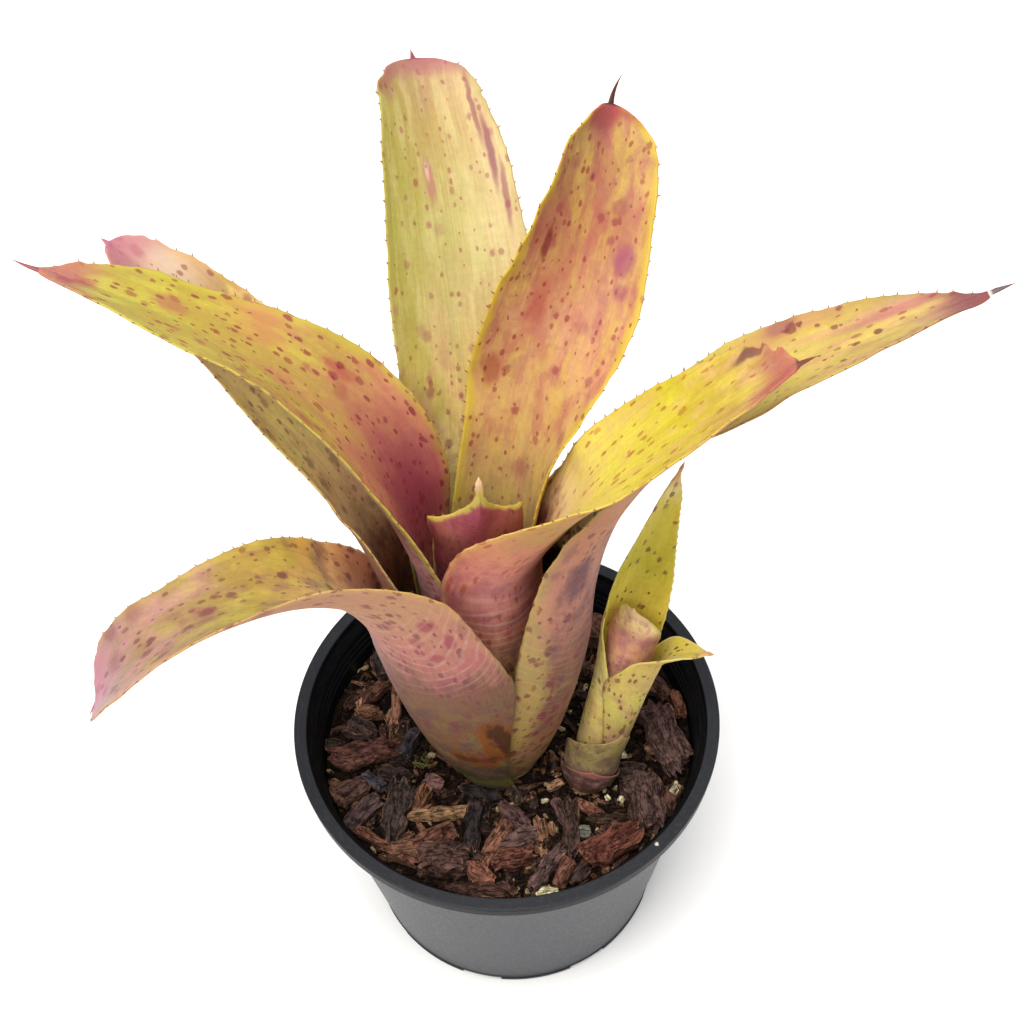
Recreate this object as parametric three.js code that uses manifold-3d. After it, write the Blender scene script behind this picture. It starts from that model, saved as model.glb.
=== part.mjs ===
// Potted neoregelia bromeliad: a spiny vase of eight strap leaves and one pup, in a nursery pot.
// Millimetres, +Z up. The origin is the centre of the pot's flat underside.
import * as THREE from 'three';
import { mergeVertices } from 'three/addons/utils/BufferGeometryUtils.js';
import Module from 'manifold-3d';

const wasm = await Module();
wasm.setup();

// ---------------------------------------------------------------- driving dimensions
const POT = {
  rimRadius: 75, height: 101, rimInnerRadius: 70.5, bandHeight: 5.5, bandRadius: 74.4,
  wallTopRadius: 70, baseRadius: 52.5, wall: 1.6, floor: 2, footHeight: 3, footStep: 0.5,
  edge: 0.5, lip: 1, shoulder: 3,
  sides: 48, notches: 8, notchWidth: 15, notchHeight: 3.2, notchDepth: 4, notchStart: -61,
};
const MIX = { level: 83.5, dome: 1.5, flatRadius: 40, wallGap: 0.4, sides: 40, seed: 7 };
const CHIP = {
  taper: 0.14, squeeze: 0.28, thin: 0.25, rock: 16, tip: 14, rise: 0.2, lift: 0.4, fillLift: -0.5,
};
// Small chips fill in between on a golden-angle spiral; each pair is a least size and its random range.
const FILL = {
  count: 20, inner: 22, spread: 41, jitter: 2, turn: 137.508, turnJitter: 20,
  length: [8, 9], width: [4, 4], thickness: [4, 3],
};
const FIT_GAP = 0.35;
// Places along a leaf's blade, from 0 at the sheath's mouth to 1 at the tip.
const TWIST_START = 0.25;
const RIB_START = [-0.1, 0.3];
const PATH_STEPS = { sheath: 30, blade: 90 };
const TIP_ROWS = [0.45, 0.15, 0.02];
const MIN_HALF_WIDTH = 1;
const CUP_WIDTH = 6;

// The vase of leaves stands on a short stem. Its sheaths nest round one core, one layer inside another.
const VASE = {
  foot: new THREE.Vector3(-3, -3, 86), lean: -0.033,
  core: [
    [80, 14.5], [84, 16], [90, 17.6], [100, 20.5], [115, 23.5], [135, 26], [155, 27.5], [175, 28], [250, 28],
  ],
  layerGap: 1.8, bulgeFrom: 88, bulgeTo: 178, firstFoot: 83.5, footStep: 2.2,
  sheathThickness: 1, ribThickness: 1.6, edgeThickness: 0.7, across: 8, step: 9, sheathSteps: 6,
  toothLength: 1.9, toothBase: 1.4, toothHook: 0.9, toothedFrom: -0.18,
  smallestRadius: 5, roomTop: 98, roomFlare: 0.15,
};
// The pup is a small vase of its own, on the side of the mother plant's stem.
const PUP = {
  base: new THREE.Vector3(27, -16.5, 86), tiltTowards: 42, tilt: 20,
  lean: 0, foot: new THREE.Vector3(0, 0, 0),
  core: [
    [-2, 6.4], [0, 7.4], [5, 8.8], [11, 10.2], [17, 11.6], [26, 12.1], [45, 12.8], [60, 14], [90, 16.5],
  ],
  layerGap: 1.5, bulgeFrom: 10, bulgeTo: 70, firstFoot: -1, footStep: 1.5,
  sheathThickness: 0.7, ribThickness: 1.1, edgeThickness: 0.6, across: 10, step: 7.5, sheathSteps: 6,
  toothLength: 1.1, toothBase: 0.9, toothHook: 0.5, toothedFrom: 0.05,
  smallestRadius: 2.4, roomTop: 14, roomFlare: 0.15,
};

// One woody stem carries both: the mother's caudex, the pup's and the stolon between them, in the mix.
const STEM = {
  profile: [[0, 62], [8, 62], [10, 65], [10, 78.5], [14.5, 83.1], [5.4, 100.7], [0, 100.7]],
  pupProfile: [[0, -12], [4.6, -12], [5, -3], [6, -1.2], [1.9, 4.9], [0, 4.9]],
  stolonRadius: 3, stolonDepth: 10, stolonStart: 6, stolonSides: 12, sides: 24,
};

// A leaf: azimuth of its midrib, its layer (0 is outermost), how far its keel bulges out of the core,
// the height where its sheath ends, and then, at even steps along the blade, the midrib's pitch above
// the horizontal, its yaw, the blade's roll and cup. Half widths run at even steps from foot to tip, and
// shift moves the blade sideways on its midrib by that share of them, where one margin wraps further.
const LEAVES = {
  leaf_front_left: {
    azimuth: 215, layer: 0, bulge: 9.5, sheathTop: 174, blade: 139, pitch: [87, 64, 19, -27, -62],
    yaw: [-4, -10, -19, -30], roll: [8, 26, 24, 3], cup: [50, 53, 50, 28, 38],
    halfWidth: [19, 27, 35, 40, 34, 28, 23, 19, 19],
    shift: [0.08, 0.03, 0.05, 0.1, 0.05, 0, 0, 0, 0], hold: [0, 0.55], turn: [-0.25, 0.1],
    tip: { length: 40, round: 2.2, power: 0.5, spike: 6 }, color: 0xb08f52,
  },
  leaf_right: {
    azimuth: -2, layer: 1.4, bulge: 11.5, sheathTop: 166, blade: 195, pitch: [89, 74, 48, 24, 16],
    yaw: [1, 3, 7, 12], roll: [-1, -19, -16, -22], cup: [50, 48, 37, 29, 29],
    halfWidth: [25, 33, 40, 37, 31, 25, 21, 17, 13], hold: [0.05, 0.5], turn: [-0.25, 0.1],
    tip: { length: 45, round: 2.2, power: 0.5, spike: 8 }, color: 0xbda24a,
  },
  leaf_back_left: {
    azimuth: 152, layer: 2.4, bulge: 5, sheathTop: 176, blade: 150, pitch: [80, 63, 49, 39, 28],
    yaw: [0, -1, -1, -2], roll: [-2, 8, 10, 18], cup: [45, 46, 33, 29, 31],
    halfWidth: [16, 30, 37, 37, 31, 25, 21, 16, 13], hold: [0.05, 0.5], turn: [-0.25, 0.1],
    tip: { length: 40, round: 2.2, power: 0.5, spike: 4 }, color: 0xa08a4a,
  },
  leaf_front_right: {
    azimuth: -21, layer: 4.2, bulge: 0, sheathTop: 206, blade: 128, pitch: [69, 61, 53, 49, 38],
    yaw: [-2, 5, 12, 19], roll: [-10, -7, -4, -11], cup: [50, 51, 35, 30, 30],
    halfWidth: [12, 20, 25, 25, 27, 26, 23, 18, 14],
    shift: [-0.1, -0.15, -0.2, -0.33, -0.32, -0.1, 0, 0, 0], hold: [0.05, 0.6], turn: [-0.15, 0.08],
    tip: { length: 35, round: 2.2, power: 0.5, spike: 5 }, color: 0xc9b23c,
  },
  leaf_back: {
    azimuth: 91, layer: 3.3, bulge: 0, sheathTop: 190, blade: 152, pitch: [76, 62, 51, 42, 34],
    yaw: [-4, 1, 7, 14], roll: [0, 8, 14, 26], cup: [45, 44, 36, 34, 22],
    halfWidth: [11, 22, 26, 27, 25, 24, 24, 22, 18], hold: [-0.1, 0.3], turn: [-0.25, 0.1],
    tip: { length: 25, round: 2.2, power: 0.5, spike: 3 }, color: 0xc8bd5e,
  },
  leaf_left: {
    azimuth: 168, layer: 5.4, bulge: 0, sheathTop: 200, blade: 161, pitch: [82, 68, 43, 26, 12],
    yaw: [-5, -3, -2, -3], roll: [-9, 4, 19, 24], cup: [46, 44, 40, 21, 29],
    halfWidth: [9, 17, 20, 20, 24, 25, 21, 17, 13],
    shift: [0, 0.08, 0.14, 0.18, 0.05, 0, 0, 0, 0], hold: [0, 0.45], turn: [-0.25, 0.1],
    tip: { length: 40, round: 2.2, power: 0.5, spike: 5 }, color: 0xbfa042,
  },
  leaf_back_right: {
    azimuth: 54, layer: 6.5, bulge: 0, sheathTop: 196, blade: 143, pitch: [74, 65, 55, 51, 46],
    yaw: [-7, -1, 7, 19], roll: [1, -3, 31, 40], cup: [60, 57, 47, 50, 45],
    halfWidth: [9, 16.5, 18.5, 19.5, 21, 23, 24, 20, 17],
    shift: [0, 0, -0.05, -0.07, -0.05, 0, 0, 0, 0], hold: [0.05, 0.45], turn: [-0.25, 0.1],
    tip: { length: 28, round: 2.2, power: 0.5, spike: 8 }, color: 0xc58a55,
  },
  leaf_centre: {
    azimuth: 281, layer: 7.6, bulge: 0, sheathTop: 203, blade: 58, pitch: [91, 89, 86, 82, 79],
    yaw: [-7, -4, -2, -1], roll: [-4, 0, -1, 0], cup: [70, 69, 69, 70, 70],
    halfWidth: [8, 12, 14, 15, 16, 18, 20, 20, 20], hold: [0, 1], turn: [-0.25, 0.1],
    tip: { length: 32, round: 1, power: 2.2, spike: 3 }, color: 0xa0506a,
  },
};
const PUP_LEAVES = {
  pup_bract_lower: {
    azimuth: 255, layer: 0, bulge: 0, sheathTop: 9.5, blade: 3, pitch: [80, 80], yaw: [0, 0], roll: [0, 0],
    cup: [90, 90], halfWidth: [16, 18, 19, 18, 15], hold: [1, 2], turn: [1, 2],
    tip: { length: 7, round: 2, power: 0.5, spike: 1.2 }, color: 0x9a6a5e, smooth: true,
  },
  pup_bract_upper: {
    azimuth: 285, layer: 1, bulge: 0, sheathTop: 17, blade: 3, pitch: [86, 86], yaw: [0, 0], roll: [0, 0],
    cup: [80, 80], halfWidth: [14, 17, 19, 18, 14], hold: [1, 2], turn: [1, 2],
    tip: { length: 9, round: 2, power: 0.5, spike: 1.2 }, color: 0xa58a5a, smooth: true,
  },
  pup_leaf_front: {
    azimuth: 328, layer: 2, bulge: 1, sheathTop: 61, blade: 20, pitch: [82, 60, 36, 20, 6],
    yaw: [-3, 12, 23], roll: [0, 0, 0], cup: [60, 46, 39],
    halfWidth: [11, 13, 14, 16.5, 17.3, 17.5, 13, 8, 5],
    shift: [0.2, 0.28, 0.33, 0.25, 0.11, -0.08, -0.15, -0.1, 0], hold: [0.05, 0.6], turn: [-0.2, 0.15],
    tip: { length: 12, round: 1.6, power: 0.8, spike: 2.5 }, color: 0xb7b048,
  },
  pup_leaf_tall: {
    azimuth: 122, layer: 3, bulge: 0, sheathTop: 51, blade: 86, pitch: [90, 93, 93, 95, 97],
    yaw: [-9, -5, 2], roll: [-9, -5, 2], cup: [58, 39, 30],
    halfWidth: [11, 15, 17, 17, 16, 13.5, 10, 6, 3],
    shift: [0.2, 0.22, 0.15, 0.03, 0, 0, 0, 0, 0], hold: [0.12, 0.6], turn: [-0.2, 0.2],
    tip: { length: 14, round: 1.6, power: 0.8, spike: 3 }, color: 0xb9bd3f,
  },
  pup_leaf_inner: {
    azimuth: 228, layer: 4, bulge: -1.5, sheathTop: 57, blade: 26, pitch: [84, 85, 93, 94],
    yaw: [2, 5, -7], roll: [0, 0], cup: [75, 75], halfWidth: [5, 7, 9, 10, 11, 12, 12.2, 10.5],
    shift: [0, 0.05, 0.1, 0.17, 0.2, 0.22, 0.15, 0], hold: [0.4, 1.3], turn: [-0.2, 0.4],
    tip: { length: 12, round: 1.5, power: 0.7, spike: 2 }, color: 0xa9706a, smooth: true,
  },
};

// Bark chips that lie on top: x, y, length, width, thickness, yaw.
const CHIPS = [
  [-50, -2, 25, 10, 6, 6], [-52, 8, 10, 8, 7, -33], [-53, 17, 9, 3, 3, 85], [-40, 15, 22, 4, 5, 86],
  [-35, 1, 14, 5, 6, 64], [-56, -18, 12, 10, 6, 31], [-48, -14, 9, 6, 5, -27], [-52, -27, 16, 7, 6, 51],
  [-40, -28, 23, 10, 8, 84], [-25, -28, 22, 5, 4, 1], [-13, -35, 21, 6, 7, -97], [-27, -39, 14, 11, 7, 29],
  [-24, -47, 17, 13, 9, -3], [-44, -40, 25, 4, 4, -35], [-6, -41, 19, 6, 6, 60], [1, -31, 16, 6, 5, -46],
  [-12, -52, 10, 6, 6, -38], [-11, -59, 25, 6, 6, -7], [-27, -16, 7, 6, 6, -19], [-31, -22, 9, 5, 5, 71],
  [2, -40, 13, 8, 6, 11], [0, -47, 14, 8, 7, 9], [17, -29, 9, 4, 4, -74], [21, -37, 22, 6, 6, -92],
  [11, -52, 20, 6, 5, 54], [17, -54, 11, 5, 6, 60], [34, -44, 22, 11, 9, 27], [47, -27, 21, 14, 8, -87],
  [56, -3, 27, 13, 8, -74], [27, -29, 11, 5, 4, -33], [35, -34, 15, 4, 4, 6], [62, 12, 11, 4, 5, -80],
  [-10, -21, 15, 6, 5, -21], [-48, 23, 13, 5, 5, 38], [55, 20, 12, 7, 6, -50], [-30, 48, 18, 8, 6, 20],
  [6, 56, 20, 9, 7, -15], [36, 44, 19, 10, 7, -50], [-10, 36, 16, 8, 6, 70], [24, 30, 14, 7, 5, 10],
];

// ---------------------------------------------------------------- small helpers
const rad = THREE.MathUtils.degToRad;

/** Seeded random number generator (mulberry32), so each build is the same. */
function randomStream(seed) {
  let state = seed >>> 0;
  return () => {
    state = (state + 0x6d2b79f5) >>> 0;
    let t = state;
    t = Math.imul(t ^ (t >>> 15), t | 1);
    t ^= t + Math.imul(t ^ (t >>> 7), t | 61);
    return ((t ^ (t >>> 14)) >>> 0) / 4294967296;
  };
}

/** A smooth curve through evenly spaced values, read at u from 0 to 1. */
function along(values, u) {
  const last = values.length - 1;
  const x = THREE.MathUtils.clamp(u, 0, 1) * last;
  const i = Math.min(Math.floor(x), last - 1);
  const f = x - i;
  const [a, b, c, d] = [i - 1, i, i + 1, i + 2].map((k) => values[THREE.MathUtils.clamp(k, 0, last)]);
  const slope = (c - a) * f;
  const bow = (2 * a - 5 * b + 4 * c - d) * f * f;
  return 0.5 * (2 * b + slope + bow + (3 * b - a - 3 * c + d) * f ** 3);
}

/** Straight interpolation in a list of [x, y] pairs. */
function lookUp(pairs, x) {
  if (x <= pairs[0][0]) return pairs[0][1];
  for (let i = 1; i < pairs.length; i += 1) {
    const [x1, y1] = pairs[i];
    const [x0, y0] = pairs[i - 1];
    if (x <= x1) return y0 + ((y1 - y0) * (x - x0)) / (x1 - x0);
  }
  return pairs[pairs.length - 1][1];
}

/** Falls smoothly from 1 to 0 as u goes from start to end. */
function fall(u, [start, end]) {
  const h = THREE.MathUtils.clamp(1 - (u - start) / (end - start), 0, 1);
  return h * h * (3 - 2 * h);
}

/** A BufferGeometry from corner points and triangles, turned so that its faces point out. */
function geometryOf(points, faces) {
  const volume = faces.reduce((sum, [a, b, c]) => (
    sum + points[a].dot(new THREE.Vector3().crossVectors(points[b], points[c]))), 0);
  const turned = volume < 0 ? faces.map(([a, b, c]) => [a, c, b]) : faces;
  const geometry = new THREE.BufferGeometry();
  geometry.setAttribute('position', new THREE.Float32BufferAttribute(points.flatMap((p) => p.toArray()), 3));
  geometry.setIndex(turned.flat());
  return geometry;
}

/** A manifold-3d solid from a closed geometry. */
function solidOf(geometry) {
  const bare = geometry.clone();
  bare.deleteAttribute('normal');
  bare.deleteAttribute('uv');
  const merged = mergeVertices(bare, 1e-4);
  return new wasm.Manifold(new wasm.Mesh({
    numProp: 3,
    vertProperties: new Float32Array(merged.attributes.position.array),
    triVerts: new Uint32Array(merged.index.array),
  }));
}

/** The geometry of a manifold-3d solid. */
function geometryOfSolid(solid) {
  const { vertProperties, triVerts } = solid.getMesh();
  const geometry = new THREE.BufferGeometry();
  geometry.setAttribute('position', new THREE.BufferAttribute(new Float32Array(vertProperties), 3));
  geometry.setIndex(new THREE.BufferAttribute(new Uint32Array(triVerts), 1));
  return geometry;
}

/** The largest connected body of a solid: loose scraps are dropped and sealed hollows filled. */
function mainBody(solid) {
  return solid.decompose().reduce((best, piece) => (piece.volume() > best.volume() ? piece : best));
}

/** A solid of revolution about Z from [radius, height] pairs. */
function turned(profile, sides) {
  const points = profile.map(([r, z]) => new THREE.Vector2(r, z));
  return new THREE.LatheGeometry(points, sides).rotateX(Math.PI / 2);
}

function namedMesh(name, geometry, color, roughness) {
  const mesh = new THREE.Mesh(geometry, new THREE.MeshStandardMaterial({ color, roughness, metalness: 0 }));
  mesh.name = name;
  return mesh;
}

/** The pup's place: its base on the mix, tilted away from the mother. */
function pupPlace() {
  const lean = rad(PUP.tilt);
  const towards = rad(PUP.tiltTowards);
  const axis = new THREE.Vector3(
    Math.sin(lean) * Math.cos(towards), Math.sin(lean) * Math.sin(towards), Math.cos(lean),
  );
  const turn = new THREE.Quaternion().setFromUnitVectors(new THREE.Vector3(0, 0, 1), axis);
  return new THREE.Matrix4().compose(PUP.base, turn, new THREE.Vector3(1, 1, 1));
}

/** The slight lean of the mother's core, as a shear about its foot. */
function vaseLean() {
  const { lean, foot } = VASE;
  return new THREE.Matrix4().set(1, 0, lean, -lean * foot.z, 0, 1, 0, 0, 0, 0, 1, 0, 0, 0, 0, 1);
}

// ---------------------------------------------------------------- leaves
/** Centre of a rosette's core at a height, in the rosette's own frame. */
function coreCentre(rosette, z) {
  const { foot, lean } = rosette;
  return new THREE.Vector3(foot.x + lean * (z - foot.z), foot.y, z);
}

/** Radius of one layer's sheath at a height. */
function layerRadius(rosette, layer, z) {
  return Math.max(lookUp(rosette.core, z) - rosette.layerGap * layer, rosette.smallestRadius);
}

/** The midrib as points with their place u: -1 to 0 up the sheath, then 0 to 1 along the blade. */
function midribOf(leaf, rosette) {
  const azimuth = rad(leaf.azimuth);
  const out = new THREE.Vector3(Math.cos(azimuth), Math.sin(azimuth), 0);
  const side = new THREE.Vector3(-out.y, out.x, 0);
  const up = new THREE.Vector3(0, 0, 1);
  const footZ = rosette.firstFoot + rosette.footStep * leaf.layer;
  const { bulgeFrom, bulgeTo } = rosette;
  const onWall = (z) => {
    const swell = THREE.MathUtils.clamp((z - bulgeFrom) / (bulgeTo - bulgeFrom), 0, 1);
    const reach = layerRadius(rosette, leaf.layer, z) + leaf.bulge * swell;
    return coreCentre(rosette, z).addScaledVector(out, reach);
  };
  const points = [];
  for (let k = 0; k < PATH_STEPS.sheath; k += 1) {
    const z = footZ + ((leaf.sheathTop - footZ) * k) / PATH_STEPS.sheath;
    points.push({ at: onWall(z), u: k / PATH_STEPS.sheath - 1, yaw: 0 });
  }
  const at = onWall(leaf.sheathTop);
  let before = null;
  for (let k = 0; k <= PATH_STEPS.blade; k += 1) {
    const u = k / PATH_STEPS.blade;
    const pitch = rad(along(leaf.pitch, u));
    const yaw = rad(along(leaf.yaw, u));
    const heading = out.clone().multiplyScalar(Math.cos(yaw)).addScaledVector(side, Math.sin(yaw));
    const direction = heading.multiplyScalar(Math.cos(pitch)).addScaledVector(up, Math.sin(pitch));
    if (before) at.addScaledVector(direction.clone().add(before), (0.5 * leaf.blade) / PATH_STEPS.blade);
    before = direction;
    points.push({ at: at.clone(), u, yaw });
  }
  return { points, out, side };
}

/** Distances along the midrib where the leaf has a station: wide steps below, fine ones at the tip. */
function stationDistances(total, leaf, rosette) {
  const sheath = total - leaf.blade;
  const distances = [];
  for (let k = 0; k < rosette.sheathSteps; k += 1) distances.push((sheath * k) / rosette.sheathSteps);
  const rounding = Math.min(leaf.tip.length / 4, rosette.step);
  const steps = Math.max(2, Math.round((leaf.blade - rounding) / rosette.step));
  for (let k = 0; k <= steps; k += 1) distances.push(sheath + ((leaf.blade - rounding) * k) / steps);
  return distances.concat(TIP_ROWS.map((f) => total - rounding * f));
}

/** Half width at a distance: the listed widths, drawn in to the tip. */
function halfWidthAt(leaf, distance, total) {
  const fromTip = total - distance;
  let width = along(leaf.halfWidth, distance / total);
  if (fromTip < leaf.tip.length) {
    const q = 1 - fromTip / leaf.tip.length;
    width *= Math.max(0, 1 - q ** leaf.tip.round) ** leaf.tip.power;
  }
  return Math.max(width, MIN_HALF_WIDTH);
}

/** One cross-section: rows of upper and lower points, and the two outward directions at the margins. */
function sectionOf(leaf, rosette, midrib, distance, total, lengths) {
  const { points, out, side } = midrib;
  let i = 1;
  while (i < points.length - 1 && lengths[i] < distance) i += 1;
  const f = (distance - lengths[i - 1]) / (lengths[i] - lengths[i - 1]);
  const at = points[i - 1].at.clone().lerp(points[i].at, f);
  const u = THREE.MathUtils.lerp(points[i - 1].u, points[i].u, f);
  const yaw = THREE.MathUtils.lerp(points[i - 1].yaw, points[i].yaw, f);
  const low = points[Math.max(i - 2, 0)].at;
  const high = points[Math.min(i + 1, points.length - 1)].at;
  const tangent = high.clone().sub(low).normalize();
  const bladeU = Math.max(u, 0);
  const ease = Math.min(1, bladeU / TWIST_START);
  const swing = yaw * ease;
  const across = side.clone().multiplyScalar(Math.cos(swing)).addScaledVector(out, -Math.sin(swing));
  const square = tangent.clone().cross(across).normalize();
  const level = fall(u, leaf.turn);
  const inward = out.clone().multiplyScalar(-level).addScaledVector(square, 1 - level).normalize();
  const roll = rad(along(leaf.roll, bladeU)) * ease;
  const shift = leaf.shift ? along(leaf.shift, distance / total) : 0;
  const axisB = across.clone().multiplyScalar(Math.cos(roll)).addScaledVector(inward, Math.sin(roll));
  const axisN = inward.clone().multiplyScalar(Math.cos(roll)).addScaledVector(across, -Math.sin(roll));
  const width = halfWidthAt(leaf, distance, total);
  const hold = fall(u, leaf.hold);
  const cup = rad(along(leaf.cup, bladeU));
  const openBend = cup / Math.max(width, CUP_WIDTH);
  const bend = THREE.MathUtils.lerp(openBend, 1 / layerRadius(rosette, leaf.layer, at.z), hold);
  const upper = [];
  const lower = [];
  for (let j = 0; j <= rosette.across; j += 1) {
    const x = (2 * j) / rosette.across - 1;
    const angle = (x + shift) * width * bend;
    const middle = at.clone().addScaledVector(axisB, Math.sin(angle) / bend)
      .addScaledVector(axisN, (1 - Math.cos(angle)) / bend);
    const normal = axisN.clone().multiplyScalar(Math.cos(angle)).addScaledVector(axisB, -Math.sin(angle));
    const blade = rosette.edgeThickness + (rosette.ribThickness - rosette.edgeThickness) * (1 - x * x);
    const half = 0.5 * THREE.MathUtils.lerp(blade, rosette.sheathThickness, fall(u, RIB_START));
    upper.push(middle.clone().addScaledVector(normal, half));
    lower.push(middle.clone().addScaledVector(normal, -half));
  }
  const margin = [-1, 1].map((s) => {
    const edge = (1 + s * shift) * width * bend;
    return axisB.clone().multiplyScalar(s * Math.cos(edge)).addScaledVector(axisN, Math.sin(edge));
  });
  return { upper, lower, margin, tangent, u };
}

/** A closed leaf blade with a spiny margin and a sharp tip. */
function leafGeometry(leaf, rosette) {
  const midrib = midribOf(leaf, rosette);
  const lengths = [0];
  midrib.points.slice(1).forEach((p, i) => lengths.push(lengths[i] + p.at.distanceTo(midrib.points[i].at)));
  const total = lengths[lengths.length - 1];
  const sections = stationDistances(total, leaf, rosette)
    .map((distance) => sectionOf(leaf, rosette, midrib, distance, total, lengths));
  const points = [];
  const add = (p) => points.push(p) - 1;
  const rows = sections.map(({ upper, lower }) => ({ upper: upper.map(add), lower: lower.map(add) }));
  const faces = [];
  const quad = (a, b, c, d) => faces.push([a, b, c], [a, c, d]);
  const last = rosette.across;
  for (let i = 0; i + 1 < rows.length; i += 1) {
    const near = rows[i];
    const far = rows[i + 1];
    const toothed = !leaf.smooth && sections[i].u > rosette.toothedFrom && i + 3 < rows.length;
    for (let j = 0; j < last; j += 1) {
      const atMargin = toothed && (j === 0 || j === last - 1);
      if (!atMargin) quad(near.upper[j], near.upper[j + 1], far.upper[j + 1], far.upper[j]);
      quad(near.lower[j + 1], near.lower[j], far.lower[j], far.lower[j + 1]);
    }
    [0, 1].forEach((s) => {
      const edge = s === 0 ? 0 : last;
      const inner = s === 0 ? 1 : last - 1;
      const strip = s === 0
        ? (a, b, c) => faces.push([a, b, c])
        : (a, b, c) => faces.push([a, c, b]);
      if (!toothed) {
        strip(near.lower[edge], near.upper[edge], far.upper[edge]);
        strip(near.lower[edge], far.upper[edge], far.lower[edge]);
        return;
      }
      const root = points[near.upper[edge]];
      const run = points[far.upper[edge]].clone().sub(root);
      const foot = add(root.clone().addScaledVector(run, Math.min(0.6, rosette.toothBase / run.length())));
      const point = add(root.clone().addScaledVector(sections[i].margin[s], rosette.toothLength)
        .addScaledVector(run.clone().normalize(), rosette.toothHook + rosette.toothBase / 2));
      strip(near.upper[inner], far.upper[inner], foot);
      strip(near.upper[inner], foot, near.upper[edge]);
      strip(far.upper[inner], far.upper[edge], foot);
      strip(near.lower[edge], near.upper[edge], point);
      strip(near.upper[edge], foot, point);
      strip(foot, near.lower[edge], point);
      strip(near.lower[edge], foot, far.upper[edge]);
      strip(near.lower[edge], far.upper[edge], far.lower[edge]);
    });
  }
  const first = rows[0];
  for (let j = 0; j < last; j += 1) {
    quad(first.upper[j + 1], first.upper[j], first.lower[j], first.lower[j + 1]);
  }
  const end = rows[rows.length - 1];
  const endSection = sections[sections.length - 1];
  const tip = add(points[end.upper[last / 2]].clone().addScaledVector(endSection.tangent, leaf.tip.spike));
  for (let j = 0; j < last; j += 1) {
    faces.push([end.upper[j], end.upper[j + 1], tip], [end.lower[j + 1], end.lower[j], tip]);
  }
  faces.push([end.lower[0], end.upper[0], tip], [end.upper[last], end.lower[last], tip]);
  return geometryOf(points, faces);
}

// ---------------------------------------------------------------- pot and potting mix
/** Outer radius of the pot's tapering wall at a height. */
function wallRadius(z) {
  const top = POT.height - POT.bandHeight;
  return THREE.MathUtils.lerp(POT.baseRadius, POT.wallTopRadius, THREE.MathUtils.clamp(z / top, 0, 1));
}

/** The thin moulded pot: tapered wall, rolled flat rim with its band, and drain notches at the foot. */
function potGeometry() {
  const { height, bandHeight, footHeight, footStep, wall, floor, edge, lip, shoulder } = POT;
  const bandZ = height - bandHeight;
  const shell = turned([
    [0, 0], [POT.baseRadius - lip, 0], [POT.baseRadius, lip],
    [wallRadius(footHeight), footHeight], [wallRadius(footHeight) - footStep, footHeight + footStep],
    [wallRadius(bandZ) - footStep, bandZ], [POT.bandRadius, bandZ], [POT.bandRadius, height - lip - edge],
    [POT.rimRadius, height - lip], [POT.rimRadius - edge, height], [POT.rimInnerRadius + edge, height],
    [POT.rimInnerRadius, height - edge], [wallRadius(bandZ - shoulder) - wall, bandZ - shoulder],
    [wallRadius(floor) - wall - footStep, floor], [0, floor],
  ], POT.sides);
  let solid = solidOf(shell);
  for (let k = 0; k < POT.notches; k += 1) {
    const azimuth = rad(POT.notchStart + (360 / POT.notches) * k);
    const reach = POT.baseRadius + POT.notchDepth / 2;
    const notch = new THREE.BoxGeometry(2 * POT.notchDepth, POT.notchWidth, 2 * POT.notchHeight)
      .translate(reach, 0, 0).rotateZ(azimuth);
    solid = solid.subtract(solidOf(notch));
  }
  return geometryOfSolid(solid);
}

/** One bark chip: a rough eight-cornered block, longest along X, standing out of z = 0. */
function chipGeometry(length, width, thickness, random) {
  const corners = [];
  for (const sx of [-1, 1]) {
    for (const sy of [-1, 1]) {
      for (const sz of [-1, 1]) {
        corners.push(new THREE.Vector3(
          0.5 * sx * length * (1 - CHIP.taper * random()),
          0.5 * sy * width * (1 - CHIP.squeeze * random()),
          0.5 * sz * thickness * (1 - CHIP.thin * random()),
        ));
      }
    }
  }
  const faces = [
    [0, 1, 3], [0, 3, 2], [4, 6, 7], [4, 7, 5], [0, 4, 5], [0, 5, 1],
    [2, 3, 7], [2, 7, 6], [0, 2, 6], [0, 6, 4], [1, 5, 7], [1, 7, 3],
  ];
  return geometryOf(corners, faces);
}

/** Places for the small chips between the large ones, on a spiral with seeded jitter. */
function fillChips(random) {
  const pick = ([least, range]) => least + range * random();
  return Array.from({ length: FILL.count }, (_, k) => {
    const radius = FILL.inner + FILL.spread * Math.sqrt((k + 0.5) / FILL.count) + FILL.jitter * random();
    const angle = rad(FILL.turn * k + FILL.turnJitter * random());
    return [
      radius * Math.cos(angle), radius * Math.sin(angle),
      pick(FILL.length), pick(FILL.width), pick(FILL.thickness), 180 * random(),
    ];
  });
}

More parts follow.
